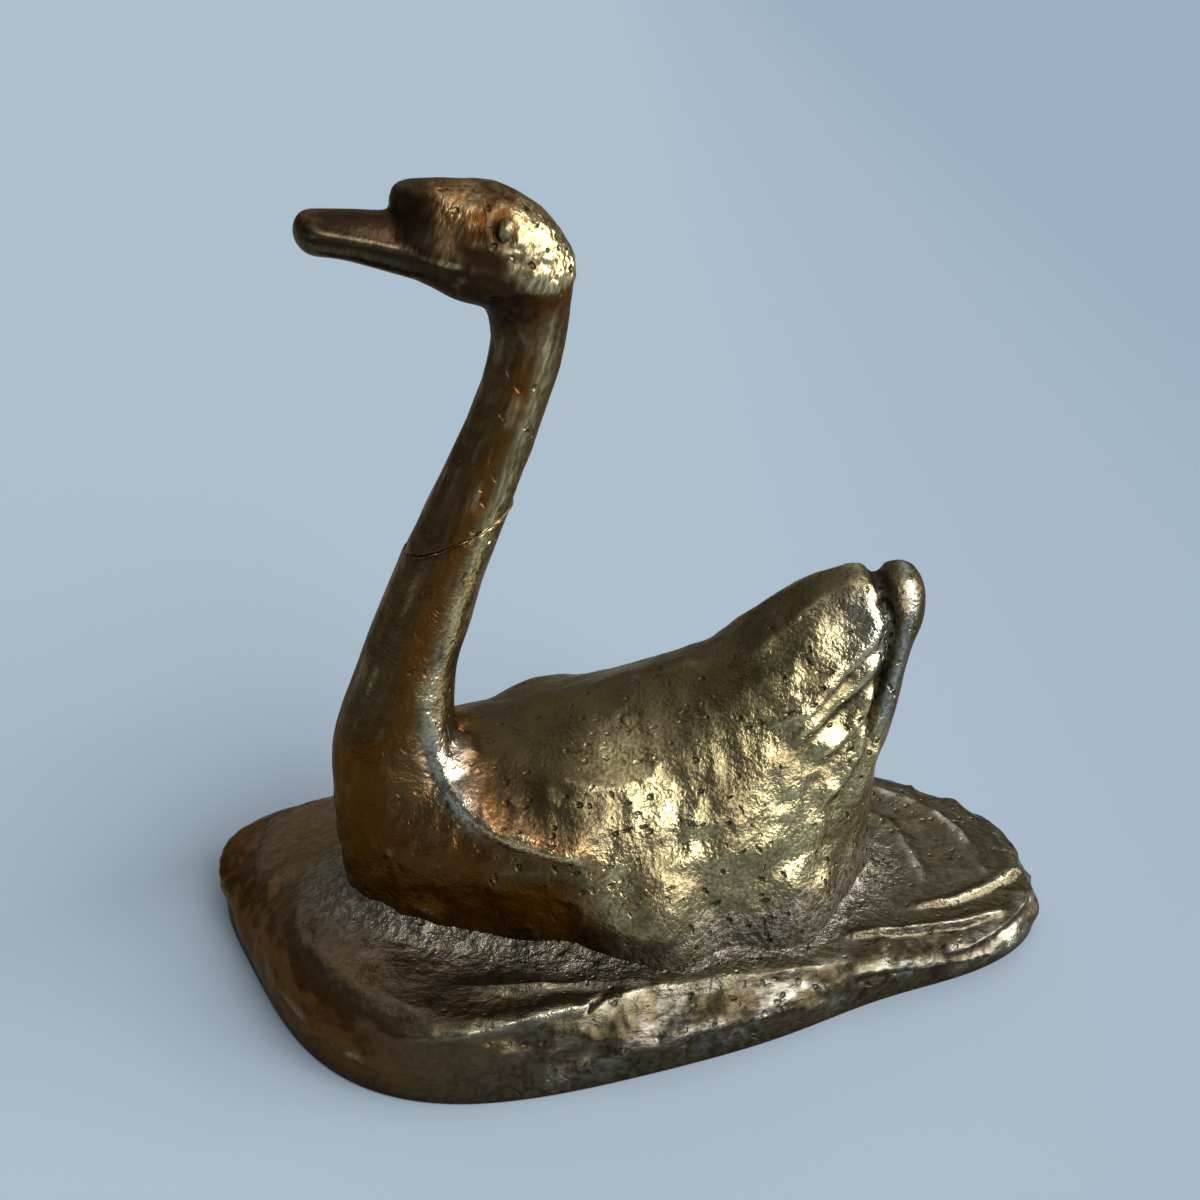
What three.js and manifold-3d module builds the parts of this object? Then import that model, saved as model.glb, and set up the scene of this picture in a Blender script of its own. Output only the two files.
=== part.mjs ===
// A cast bronze swan swimming on a hollow base of rippled water.
// Millimetres. +X is the way the bird swims, +Y its left side, +Z up.
import * as THREE from 'three';
import Module from 'manifold-3d';

// Fits
const CLEARANCE = 0.3; // gap left round every fitted piece
const WALL = 4; // wall of the hollow base

// Water base
const BASE_HALF_LENGTH = 93.5;
const BASE_HALF_WIDTH = 42.5;
const BASE_SQUARENESS = 3.4; // 2 would be an ellipse in plan
const BASE_TAPER = 0.31; // how much wider the bow end is than the middle
const BASE_SLANT = 0.14; // how far both ends lean across the plan
const BOW_SLANT = 0.25; // further lean of the bow end
const BAY_DEPTH = 3.5; // how far the left shore is scooped in abaft the middle
const BAY_PLACE = -0.5; // the bay's middle, as a share of the half length
const BAY_REACH = 0.28; // and how far it runs
const WATER_HEIGHT = 17; // mean level of the water
const WATER_RISE = 5.5; // how far the level climbs from the middle to the bow
const SWELL_REACH = 21; // how far a swell spreads round its middle
const BOW_WAVE = 4; // height of the swell pushed up beside the breast
const STERN_WAVE = 4; // height of the swell left at the right of the stern
const STERN_WAVE_X = -0.7 * BASE_HALF_LENGTH;
const STERN_WAVE_Y = -0.6 * BASE_HALF_WIDTH;
const BOW_FALL = 5; // how far the right side of the bow drops
const BOW_FALL_FROM = { along: 0.43, across: -0.5 }; // where the drop starts, in shares of the half sizes
const BOW_FALL_TO = { along: 1, across: 0.6 }; // and where it is whole
const EDGE_ROUND = 8; // rounding where the water turns over the edge
const BOW_ROUND = 9; // further rounding over the right of the bow
const FLARE = 1.6; // how far the wall spreads towards the table
const RIM_ROUND = 1; // rounding under the wall
const ROOF_ROUND = 2; // rounding under the hollow's roof
const RIPPLE_HEIGHT = 1.3;
const RIPPLE_SPACING = 12;
const RIPPLE_WANDER = 0.2; // how far a crest wanders in and out, as a share of the spacing
const POCKET_FLOOR = 10.5; // level the bird is let into the water
const CEILING = 6.5; // level of the hollow's roof above the table

// Swan
const TURN_RADIUS = 350; // plan radius of the turn the bird is swimming
const AXIS_X = 6; // set of the bird on the base, forwards
const AXIS_Y = -4.5; // and sideways
const BODY_LENGTH = 123;
const BREAST_X = 65.5; // foremost point of the breast
const BOW_WAVE_X = BREAST_X - 7.5; // place of the swell beside the breast
const BOW_WAVE_Y = 10;
const BODY_HALF_WIDTH = 33.5;
const BACK_HEIGHT = 75;
const BEAM_HEIGHT = 38; // level of the widest part of the body
const KEEL_DEPTH = 6; // how far below the table the round of the belly would reach
const BELLY_SQUARENESS = 2.27;
const WING_ROOT_X = 34;
const WING_TIP_X = -55;
const WING_TIP_HEIGHT = 94;
const WING_SPREAD = 0.806 * BODY_HALF_WIDTH; // half distance between the wings at their widest
const WING_CHORD = 20; // half depth of a wing at its deepest
const WING_THICKNESS = 5.5; // half thickness of a wing
const WING_MEETING = 0.5; // share of a wing's length past which the pair lies together
const WING_BLEND = 0.09; // share of the length over which the wings come together
const WING_JOIN_SQUARENESS = 5; // squareness of the inner halves where they lie together
const FEATHERS = 4; // long feathers ridged across a wing
const FEATHER_RIDGE = 0.8; // height of a feather's ridge
const TAIL_TIP_X = -59.8;
const TAIL_TIP_HEIGHT = 95.2;
const TAIL_HALF_WIDTH = 13;
const TAIL_THICKNESS = 10; // half thickness of the tail at its root
const TAIL_LEAN = 0.25; // slope of the tail's sections

// Neck and head
const NECK_FOOT_X = 52;
const NECK_FOOT_HEIGHT = 58;
const NECK_TOP_X = 19.2;
const NECK_TOP_HEIGHT = 147;
const NECK_FOOT_RADIUS = 13.5;
const NECK_TOP_RADIUS = 7.2;
const SEAM_HEIGHT = 110; // joint across the neck
const SEAM_SLANT = 42; // degrees that the joint rises to the nape from square
const HEAD_CENTRE_X = NECK_TOP_X + 5.8;
const HEAD_CENTRE_HEIGHT = NECK_TOP_HEIGHT + 18;
const HEAD_LENGTH = 33;
const HEAD_HALF_WIDTH = 10;
const HEAD_HALF_HEIGHT = 12.5;
const HEAD_SQUARENESS = 2.3;
const BILL_TIP_X = HEAD_CENTRE_X + 35.9;
const BILL_TIP_HEIGHT = HEAD_CENTRE_HEIGHT + 5.4;
const BILL_HALF_WIDTH = 5.8;
const BILL_HALF_HEIGHT = 4; // half height of the bill near its tip
const BILL_ROUND = 4.25; // how far the rounding of the tip runs back
const BILL_SQUARENESS = 2.4;
const EYE_X = HEAD_CENTRE_X - 1;
const EYE_HEIGHT = HEAD_CENTRE_HEIGHT + 5.4;
const EYE_RADIUS = 2;
const EYE_DEPTH = 1.2; // how far an eye's middle lies in from the side of the head

// Joint pieces
const DOWEL_RADIUS = 3;
const DOWEL_LENGTH = 26;
const BRAZE_RADIUS = 0.9; // half width of the braze bead
const BRAZE_SET = 0.2; // how far the bead's middle lies inside the neck's skin
const BOLT_RADIUS = 2.5;
const BOLT_HEAD_RADIUS = 4.4;
const BOLT_HEAD_HEIGHT = 3.2;
const BOLT_REACH = 20; // how far a bolt runs up into the bird
const BOLT_CHAMFER = 0.6;
const HEX_RADIUS = 2.3;
const HEX_DEPTH = 1.9;
const WASHER_RADIUS = 5.6;
const WASHER_THICKNESS = 1;
const FRONT_BOLT_X = 26;
const REAR_BOLT_X = -24;
const PLUG_RADIUS = 2.2;
const PLUG_SEAT = 22; // distance of a plug's inner end from the middle of the body
const PLUG_X = 1.1;
const PLUG_TILT = { left: 69, right: 45 }; // degrees above the horizontal that each plug faces
const OVERCUT = 1; // how far a cut runs out past the face it opens

const { Manifold, Mesh } = await Module().then((wasm) => {
  wasm.setup();
  return wasm;
});
const V = (x, y, z) => new THREE.Vector3(x, y, z);
const lerp = THREE.MathUtils.lerp;
const smooth = THREE.MathUtils.smoothstep;
const signedPower = (v, p) => Math.sign(v) * Math.abs(v) ** p;
const bell = (...shares) => Math.exp(-(Math.hypot(...shares) ** 2));

// A point of the straight bird, carried round the turn it is swimming.
function turned(x, y, z) {
  const angle = x / TURN_RADIUS;
  const reach = TURN_RADIUS - y;
  return V(AXIS_X + reach * Math.sin(angle), AXIS_Y + TURN_RADIUS - reach * Math.cos(angle), z);
}

// A closed solid from a triangle geometry.
function solid(geometry) {
  const flat = geometry.index ? geometry.toNonIndexed() : geometry;
  const place = flat.attributes.position;
  const seen = new Map();
  const verts = [];
  const tris = [];
  for (let i = 0; i < place.count; i += 3) {
    const corner = [0, 1, 2].map((k) => {
      const xyz = [place.getX(i + k), place.getY(i + k), place.getZ(i + k)];
      const key = xyz.map((v) => Math.round(v * 1e4)).join();
      if (!seen.has(key)) {
        seen.set(key, seen.size);
        verts.push(...xyz);
      }
      return seen.get(key);
    });
    if (new Set(corner).size === 3) tris.push(...corner);
  }
  const facing = (list) =>
    new Manifold(
      new Mesh({ numProp: 3, vertProperties: new Float32Array(verts), triVerts: new Uint32Array(list) }),
    );
  const made = facing(tris);
  if (made.volume() > 0) return made;
  return facing(tris.map((_, i) => tris[i - (i % 3) + [0, 2, 1][i % 3]]));
}

// A skin through equal rings of points, closed at each end.
function loft(rings) {
  const corners = [];
  const n = rings[0].length;
  const middle = (ring) => ring.reduce((sum, p) => sum.add(p), V(0, 0, 0)).divideScalar(n);
  const first = middle(rings[0]);
  const last = middle(rings.at(-1));
  for (let j = 0; j < n; j++) {
    const k = (j + 1) % n;
    corners.push(first, rings[0][k], rings[0][j]);
    for (let i = 0; i + 1 < rings.length; i++) {
      const [a, b, c, d] = [rings[i][j], rings[i][k], rings[i + 1][k], rings[i + 1][j]];
      corners.push(a, b, c, a, c, d);
    }
    corners.push(last, rings.at(-1)[j], rings.at(-1)[k]);
  }
  return solid(new THREE.BufferGeometry().setFromPoints(corners));
}

// A ring of points about a centre: two half axes and a squareness (2 is an ellipse).
function oval(count, centre, across, up, squareness = 2) {
  return Array.from({ length: count }, (_, j) => {
    const t = (2 * Math.PI * j) / count;
    return centre
      .clone()
      .addScaledVector(across, signedPower(Math.cos(t), 2 / squareness))
      .addScaledVector(up, signedPower(Math.sin(t), 2 / squareness));
  });
}

// A solid of revolution about Z from a closed profile of [radius, height].
function revolve(profile, segments = 32) {
  const points = [...profile, profile[0]].map(([r, z]) => new THREE.Vector2(r, z));
  return solid(new THREE.LatheGeometry(points, segments).rotateX(Math.PI / 2));
}
const rod = (radius, low, high, segments = 32) =>
  revolve([[0, low], [radius, low], [radius, high], [0, high]], segments);

// A smooth line through a few rows of numbers; row(u) gives the numbers at share u of its length.
function through(rows) {
  const lines = [];
  for (let c = 0; c < rows[0].length; c += 3) {
    const points = rows.map((row) => V(row[c], row[c + 1] ?? 0, row[c + 2] ?? 0));
    lines.push(points);
  }
  const at = (points, u) => {
    const f = u * (points.length - 1);
    const i = Math.min(Math.floor(f), points.length - 2);
    const [a, b] = [points[i], points[i + 1]];
    const before = points[i - 1] ?? a.clone().multiplyScalar(2).sub(b);
    const after = points[i + 2] ?? b.clone().multiplyScalar(2).sub(a);
    return new THREE.CatmullRomCurve3([before, a, b, after], false, 'catmullrom').getPoint((1 + f - i) / 3);
  };
  return (u) => lines.flatMap((points) => at(points, u).toArray());
}

// WATER BASE
// Edge of the base in a direction from its middle, drawn in by an inset.
function shore(angle, inset) {
  const [c, d] = [Math.cos(angle), Math.sin(angle)];
  const size = (Math.abs(c) ** BASE_SQUARENESS + Math.abs(d) ** BASE_SQUARENESS) ** (1 / BASE_SQUARENESS);
  const along = c / size;
  const bay = d > 0 ? BAY_DEPTH * bell((along - BAY_PLACE) / BAY_REACH) : 0;
  const across = ((BASE_HALF_WIDTH * (1 + BASE_TAPER * along) - inset) * d) / size - bay;
  const slant = BASE_SLANT + BOW_SLANT * along;
  return new THREE.Vector2((BASE_HALF_LENGTH - inset) * along - slant * across, across);
}

// How far a place lies over to the right of the bow, from 0 to 1.
const rightBow = (p) =>
  smooth(p.x / BASE_HALF_LENGTH, BOW_FALL_FROM.along, BOW_FALL_TO.along) *
  smooth(-p.y / BASE_HALF_WIDTH, BOW_FALL_FROM.across, BOW_FALL_TO.across);

// Level of the water: a climb to the bow, swells by the breast and the stern, ripples along the shore.
function waterLevel(p, share, angle) {
  const climb = (WATER_RISE * p.x) / BASE_HALF_LENGTH;
  const swell = (x, y) => bell((p.x - x) / SWELL_REACH, (p.y - y) / SWELL_REACH);
  const breast = BOW_WAVE * swell(AXIS_X + BOW_WAVE_X, AXIS_Y + BOW_WAVE_Y);
  const stern = STERN_WAVE * swell(STERN_WAVE_X, STERN_WAVE_Y);
  const crest = ((1 - share) * BASE_HALF_WIDTH) / RIPPLE_SPACING + RIPPLE_WANDER * Math.sin(3 * angle);
  const ripple = RIPPLE_HEIGHT * Math.cos(2 * Math.PI * crest);
  return WATER_HEIGHT + climb + breast + stern + ripple - BOW_FALL * rightBow(p);
}

// The water is one closed shell: over the top, round the edge, down the wall and back under the roof.
function waterBase() {
  const count = 64;
  const rings = [];
  const ring = (share, inset, height) =>
    Array.from({ length: count }, (_, j) => {
      const angle = (2 * Math.PI * j) / count;
      const p = shore(angle, inset(shore(angle, 0))).multiplyScalar(share);
      return V(p.x, p.y, height(p, share, angle));
    });
  const rounding = (p) => EDGE_ROUND + BOW_ROUND * rightBow(p);
  for (const share of [0.15, 0.5, 0.6, 0.67, 0.73, 0.8, 0.865, 0.93, 1]) {
    rings.push(ring(share, rounding, waterLevel));
  }
  for (const turn of [30, 60, 90]) {
    const a = THREE.MathUtils.degToRad(turn);
    const fall = EDGE_ROUND * (1 - Math.cos(a));
    rings.push(ring(1, (p) => rounding(p) * (1 - Math.sin(a)), (...place) => waterLevel(...place) - fall));
  }
  const level = (inset, height, share = 1) => rings.push(ring(share, () => inset, () => height));
  level(-FLARE, RIM_ROUND);
  level(RIM_ROUND - FLARE, 0);
  level(RIM_ROUND + WALL - FLARE, 0);
  level(RIM_ROUND + WALL, CEILING - ROOF_ROUND);
  level(RIM_ROUND + WALL + ROOF_ROUND, CEILING);
  level(RIM_ROUND + WALL + ROOF_ROUND, CEILING, 0.5);
  return loft(rings);
}

// SWAN BODY
// Rows: place along the body, half width and back height as shares of the named sizes, and how
// square the back is across (2 is round, less is ridged).
const bodyRow = through([
  [0, 0.14, 0.72, 2.4],
  [0.06, 0.45, 0.9, 2.6],
  [0.142, 0.7, 0.98, 2.3],
  [0.24, 0.88, 1, 1.9],
  [0.386, 0.98, 0.95, 1.75],
  [0.53, 1, 0.885, 1.9],
  [0.646, 0.93, 0.825, 2],
  [0.776, 0.78, 0.785, 2.1],
  [0.89, 0.57, 0.75, 2.2],
  [0.963, 0.34, 0.7, 2.2],
  [1, 0.1, 0.6, 2.2],
]);
function bodyForm(grow, rows = 22, count = 28) {
  const rings = [];
  for (let i = 0; i <= rows; i++) {
    const [along, wide, high, square] = bodyRow(i / rows);
    const x = BREAST_X - BODY_LENGTH * (1 - along) + grow * (2 * along - 1);
    const halfWidth = Math.max(BODY_HALF_WIDTH * wide + grow, 0.8);
    const top = BACK_HEIGHT * high + grow;
    const ring = [];
    for (let j = 0; j < count; j++) {
      const t = (2 * Math.PI * j) / count;
      const above = Math.sin(t) > 0;
      const power = 2 / (above ? square : BELLY_SQUARENESS);
      const drop = above ? top - BEAM_HEIGHT : BEAM_HEIGHT + KEEL_DEPTH;
      const y = halfWidth * signedPower(Math.cos(t), power);
      ring.push(turned(x, y, BEAM_HEIGHT + drop * signedPower(Math.sin(t), power)));
    }
    rings.push(ring);
  }
  return loft(rings);
}

// Rows: x, y, z of the wing's middle line, half depth, half thickness and lean inwards in radians;
// y to thickness are shares of the named sizes.
const wingRow = through(
  [
    [WING_ROOT_X, 0.72, 0.47, 0.4, 0.5, 0.3],
    [0.53 * WING_ROOT_X, 0.97, 0.465, 0.82, 0.9, 0.42],
    [0, 1.03, 0.485, 0.95, 1, 0.52],
    [0.33 * WING_TIP_X, 0.83, 0.58, 0.95, 1, 0.6],
    [0.66 * WING_TIP_X, 0.48, 0.74, 0.7, 0.9, 0.5],
    [0.89 * WING_TIP_X, 0.22, 0.905, 0.42, 0.7, 0.32],
    [WING_TIP_X, 0.09, 0.985, 0.13, 0.33, 0.2],
  ].map(([x, y, z, depth, thick, lean]) => [
    x,
    y * WING_SPREAD,
    z * WING_TIP_HEIGHT,
    depth * WING_CHORD,
    thick * WING_THICKNESS,
    lean,
  ]),
);
// Aft of their meeting the inner halves of the wings are squared and run into one another; the
// feathers' ridges fade in past the first third of the wing and out towards its tip.
function wing(side, rows = 16, count = 36) {
  const rings = [];
  for (let i = 0; i <= rows; i++) {
    const u = i / rows;
    const [x, y, z, depth, thick, lean] = wingRow(u);
    const [x2, , z2] = wingRow(Math.min(u + 0.02, 1));
    const [x1, , z1] = wingRow(Math.max(u - 0.02, 0));
    const run = V(x2 - x1, 0, z2 - z1).normalize();
    const out = V(0, Math.cos(lean), Math.sin(lean));
    const up = V(run.z * Math.cos(lean), -Math.sin(lean), -run.x * Math.cos(lean));
    const joined = smooth(u, WING_MEETING - WING_BLEND, WING_MEETING + WING_BLEND);
    const inwards = out.clone().lerp(V(0, 1, 0), joined);
    const inside = lerp(thick, y + depth / 2, joined);
    const power = lerp(1, 2 / WING_JOIN_SQUARENESS, joined);
    const ridge = FEATHER_RIDGE * smooth(u, 0.3, 0.6) * (1 - smooth(u, 0.85, 1));
    const ring = Array.from({ length: count }, (_, j) => {
      const t = (2 * Math.PI * j) / count;
      const [c, d] = [Math.cos(t), Math.sin(t)];
      const p = V(x, y, z);
      if (c < 0) {
        p.addScaledVector(inwards, inside * signedPower(c, power));
        p.addScaledVector(up, depth * signedPower(d, power));
      } else {
        const feather = ridge * Math.cos(Math.PI * FEATHERS * d) * c;
        p.addScaledVector(out, thick * c + feather);
        p.addScaledVector(up, depth * d);
      }
      return turned(p.x, side * p.y, p.z);
    });
    rings.push(ring);
  }
  return loft(rings);
}

// Rows: x and z of the tail's middle line, half width, half thickness.
const tailRow = through([
  [0.744 * TAIL_TIP_X, 0.4 * TAIL_TIP_HEIGHT, TAIL_HALF_WIDTH, TAIL_THICKNESS],
  [0.861 * TAIL_TIP_X, 0.61 * TAIL_TIP_HEIGHT, TAIL_HALF_WIDTH, 0.85 * TAIL_THICKNESS],
  [0.93 * TAIL_TIP_X, 0.777 * TAIL_TIP_HEIGHT, 0.846 * TAIL_HALF_WIDTH, 0.72 * TAIL_THICKNESS],
  [0.98 * TAIL_TIP_X, 0.898 * TAIL_TIP_HEIGHT, 0.7 * TAIL_HALF_WIDTH, 0.66 * TAIL_THICKNESS],
  [0.997 * TAIL_TIP_X, 0.968 * TAIL_TIP_HEIGHT, 0.46 * TAIL_HALF_WIDTH, 0.5 * TAIL_THICKNESS],
  [TAIL_TIP_X, TAIL_TIP_HEIGHT, 0.154 * TAIL_HALF_WIDTH, 0.2 * TAIL_THICKNESS],
]);
function tail(rows = 10, count = 20) {
  const rings = [];
  for (let i = 0; i <= rows; i++) {
    const [x, z, wide, thick] = tailRow(i / rows);
    const ring = oval(count, V(x, 0, z), V(0, wide, 0), V(thick, 0, thick * TAIL_LEAN));
    rings.push(ring.map((p) => turned(p.x, p.y, p.z)));
  }
  return loft(rings);
}

// NECK
// Rows: x and z of the neck's middle line and its radius, from inside the breast to inside the head.
const neckX = (share) => lerp(NECK_FOOT_X, NECK_TOP_X, share);
const neckHeight = (share) => lerp(NECK_FOOT_HEIGHT, NECK_TOP_HEIGHT, share);
const neckRow = through([
  [NECK_FOOT_X - 3, NECK_FOOT_HEIGHT - 20, 1.2 * NECK_FOOT_RADIUS],
  [NECK_FOOT_X, NECK_FOOT_HEIGHT, NECK_FOOT_RADIUS],
  [neckX(0.0945), neckHeight(0.157), 0.83 * NECK_FOOT_RADIUS],
  [neckX(0.201), neckHeight(0.292), 0.72 * NECK_FOOT_RADIUS],
  [neckX(0.427), neckHeight(0.494), 1.19 * NECK_TOP_RADIUS],
  [neckX(0.671), neckHeight(0.685), 1.056 * NECK_TOP_RADIUS],
  [neckX(0.884), neckHeight(0.865), 0.958 * NECK_TOP_RADIUS],
  [NECK_TOP_X, NECK_TOP_HEIGHT, NECK_TOP_RADIUS],
  [NECK_TOP_X - 0.4, NECK_TOP_HEIGHT + 11, 1.2 * NECK_TOP_RADIUS],
]);
function neck(rows = 24, count = 24) {
  const rings = [];
  for (let i = 0; i <= rows; i++) {
    const [x, z, radius] = neckRow(i / rows);
    const [x2, z2] = neckRow(Math.min(i / rows + 0.01, 1));
    const [x1, z1] = neckRow(Math.max(i / rows - 0.01, 0));
    const run = V(x2 - x1, 0, z2 - z1).normalize();
    const ring = oval(count, V(x, 0, z), V(0, radius, 0), V(radius * run.z, 0, -radius * run.x));
    rings.push(ring.map((p) => turned(p.x, p.y, p.z)));
  }
  return loft(rings);
}

// Where the neck is jointed: the seam's middle, the neck's direction and radius there, and the
// directions along the slanting seam to the front, across it and square to it.
function seamFrame() {
  let low = 0;
  let high = 1;
  for (let i = 0; i < 40; i++) {
    const mid = (low + high) / 2;
    if (neckRow(mid)[1] < SEAM_HEIGHT) low = mid;
    else high = mid;
  }
  const [x, z, radius] = neckRow(low);
  const [x2, z2] = neckRow(low + 0.01);
  const centre = turned(x, 0, z);
  const axis = turned(x2, 0, z2).sub(centre).normalize();
  const across = turned(x, 1, z).sub(centre).normalize();
  const slant = THREE.MathUtils.degToRad(SEAM_SLANT);
  const square = axis.clone().applyAxisAngle(across, slant);
  const ahead = across.clone().cross(square);
  return { centre, axis, radius, ahead, across, square, stretch: 1 / Math.cos(slant) };
}

// HEAD
// Rows: x, middle height, half width, rise above and fall below the middle.
const skullRow = through([
  [-0.4545, -0.304, 0.3, 0.16, 0.2],
  [-0.412, -0.28, 0.52, 0.384, 0.36],
  [-0.273, -0.144, 0.86, 0.72, 0.696],
  [-0.045, 0.016, 1, 0.928, 0.88],
  [0.2, 0.12, 0.95, 0.904, 0.848],
  [0.379, 0.176, 0.74, 0.88, 0.64],
  [0.473, 0.192, 0.56, 0.856, 0.512],
  [0.53, 0.256, 0.4, 0.72, 0.352],
  [0.56, 0.32, 0.2, 0.512, 0.24],
]);
function skull(rows = 18, count = 24) {
  const rings = [];
  for (let i = 0; i <= rows; i++) {
    const [along, lift, wide, rise, fall] = skullRow(i / rows);
    const x = HEAD_CENTRE_X + HEAD_LENGTH * along;
    const z = HEAD_CENTRE_HEIGHT + HEAD_HALF_HEIGHT * lift;
    const sides = V(0, HEAD_HALF_WIDTH * wide, 0);
    const ring = oval(count, V(0, 0, 0), sides, V(0, 0, HEAD_HALF_HEIGHT), HEAD_SQUARENESS);
    rings.push(ring.map((p) => turned(x, p.y, z + p.z * (p.z > 0 ? rise : fall))));
  }
  return loft(rings);
}

// Rows: x, middle height, half width, half height, from inside the face to the tip, where the rings
// gather to round it off.
const billX = (share) => lerp(HEAD_CENTRE_X, BILL_TIP_X, share);
const billRow = through([
  [billX(0.357), BILL_TIP_HEIGHT - 4.1, 1.1 * BILL_HALF_WIDTH, 1.62 * BILL_HALF_HEIGHT],
  [billX(0.535), BILL_TIP_HEIGHT - 2.8, BILL_HALF_WIDTH, 1.38 * BILL_HALF_HEIGHT],
  [billX(0.752), BILL_TIP_HEIGHT - 1, BILL_HALF_WIDTH, 1.1 * BILL_HALF_HEIGHT],
  [billX(0.897), BILL_TIP_HEIGHT - 0.2, 0.98 * BILL_HALF_WIDTH, BILL_HALF_HEIGHT],
  [BILL_TIP_X, BILL_TIP_HEIGHT, 0.97 * BILL_HALF_WIDTH, BILL_HALF_HEIGHT],
]);
function bill(rows = 14, count = 20) {
  const rings = [];
  for (let i = 0; i <= rows; i++) {
    const [x, z, wide, high] = billRow(1 - (1 - i / rows) ** 1.6);
    const past = THREE.MathUtils.clamp((x - BILL_TIP_X) / BILL_ROUND + 0.99, 0, 1);
    const end = Math.sqrt(1 - past ** BILL_SQUARENESS);
    const ring = oval(count, V(x, 0, z), V(0, end * wide, 0), V(0, 0, end * high), BILL_SQUARENESS);
    rings.push(ring.map((p) => turned(p.x, p.y, p.z)));
  }
  return loft(rings);
}

// Carries a solid built about Z to a place, its Z turned to a direction.
function placed(body, at, direction) {
  const turn = new THREE.Quaternion().setFromUnitVectors(V(0, 0, 1), direction.clone().normalize());
  const matrix = new THREE.Matrix4().compose(at, turn, V(1, 1, 1));
  return body.transform(matrix.toArray());
}

// PIECES
const neckSolid = neck();
const seam = seamFrame();
const seamOffset = seam.centre.dot(seam.square);
const seamUp = seam.square.toArray();
const seamDown = seamUp.map((v) => -v);
const lowerNeck = neckSolid.trimByPlane(seamDown, CLEARANCE / 2 - seamOffset);
const upperNeck = neckSolid.trimByPlane(seamUp, seamOffset + CLEARANCE / 2);

// A bead round the slanting seam, let a little way into a groove across both castings.
const beadLine = seam.radius - BRAZE_SET;
const bead = (grow) => {
  const radius = BRAZE_RADIUS + grow;
  const round = Array.from({ length: 10 }, (_, i) => {
    const t = (2 * Math.PI * i) / 10;
    return [beadLine + radius * Math.cos(t), radius * Math.sin(t)];
  });
  const place = new THREE.Matrix4().makeBasis(seam.ahead, seam.across, seam.square);
  place.setPosition(seam.centre);
  return revolve(round, 36).scale([seam.stretch, 1, 1]).transform(place.toArray());
};
const ringSolid = bead(0);
const ringGroove = bead(CLEARANCE);
const dowel = (grow) => {
  const half = DOWEL_LENGTH / 2 + grow;
  return placed(rod(DOWEL_RADIUS + grow, -half, half, 24), seam.centre, seam.axis);
};
const dowelSolid = dowel(0);
const dowelHole = dowel(CLEARANCE);

// Bolts rise from the hollow through the base's roof into the bird.
const seatLevel = POCKET_FLOOR + CLEARANCE;
const washerLow = CEILING - CLEARANCE - WASHER_THICKNESS;
const headHigh = washerLow - CLEARANCE;
const headLow = headHigh - BOLT_HEAD_HEIGHT;
const boltTop = seatLevel + BOLT_REACH;
const boltPlaces = { front: turned(FRONT_BOLT_X, 0, 0), rear: turned(REAR_BOLT_X, 0, 0) };
const hexKey = solid(
  new THREE.ExtrudeGeometry(
    new THREE.Shape(
      Array.from({ length: 6 }, (_, i) => {
        const t = (Math.PI * i) / 3;
        return new THREE.Vector2(HEX_RADIUS * Math.cos(t), HEX_RADIUS * Math.sin(t));
      }),
    ),
    { depth: HEX_DEPTH + OVERCUT, bevelEnabled: false },
  ).translate(0, 0, headLow - OVERCUT),
);
const boltSolid = revolve([
  [0, headLow],
  [BOLT_HEAD_RADIUS - BOLT_CHAMFER, headLow],
  [BOLT_HEAD_RADIUS, headLow + BOLT_CHAMFER],
  [BOLT_HEAD_RADIUS, headHigh],
  [BOLT_RADIUS, headHigh],
  [BOLT_RADIUS, boltTop - BOLT_CHAMFER],
  [BOLT_RADIUS - BOLT_CHAMFER, boltTop],
  [0, boltTop],
]).subtract(hexKey);
const washerSolid = revolve([
  [BOLT_RADIUS + CLEARANCE, washerLow],
  [WASHER_RADIUS, washerLow],
  [WASHER_RADIUS, washerLow + WASHER_THICKNESS],
  [BOLT_RADIUS + CLEARANCE, washerLow + WASHER_THICKNESS],
]);
const boltHole = rod(BOLT_RADIUS + CLEARANCE, -OVERCUT, boltTop + CLEARANCE);
const at = (body, p) => body.translate([p.x, p.y, 0]);

// The bird: body, folded wings, tail and lower neck in one casting.
let swan = bodyForm(0).add(wing(1)).add(wing(-1)).add(tail()).add(lowerNeck);
const plugSolids = {};
for (const [name, side] of [['left', 1], ['right', -1]]) {
  const tilt = THREE.MathUtils.degToRad(PLUG_TILT[name]);
  const centre = turned(PLUG_X, 0, BEAM_HEIGHT);
  const facing = turned(PLUG_X, side * Math.cos(tilt), BEAM_HEIGHT + Math.sin(tilt)).sub(centre);
  const outside = BODY_HALF_WIDTH + BACK_HEIGHT;
  const plug = rod(PLUG_RADIUS, PLUG_SEAT, outside, 28);
  const bore = rod(PLUG_RADIUS + CLEARANCE, PLUG_SEAT - CLEARANCE, outside, 28);
  plugSolids[name] = placed(plug, centre, facing).intersect(swan);
  swan = swan.subtract(placed(bore, centre, facing));
}
swan = swan
  .subtract(at(boltHole, boltPlaces.front))
  .subtract(at(boltHole, boltPlaces.rear))
  .subtract(dowelHole)
  .subtract(ringGroove)
  .trimByPlane([0, 0, 1], seatLevel);

// The upper casting: neck, skull and bill, with a socket for each eye.
let head = upperNeck.add(skull()).add(bill()).subtract(dowelHole).subtract(ringGroove);
const ball = (radius) => solid(new THREE.SphereGeometry(radius, 16, 10));
const eyePlaces = {};
for (const [name, side] of [['left', 1], ['right', -1]]) {
  eyePlaces[name] = turned(EYE_X, side * (HEAD_HALF_WIDTH - EYE_DEPTH), EYE_HEIGHT);
  head = head.subtract(ball(EYE_RADIUS + CLEARANCE).translate(eyePlaces[name].toArray()));
}

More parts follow.
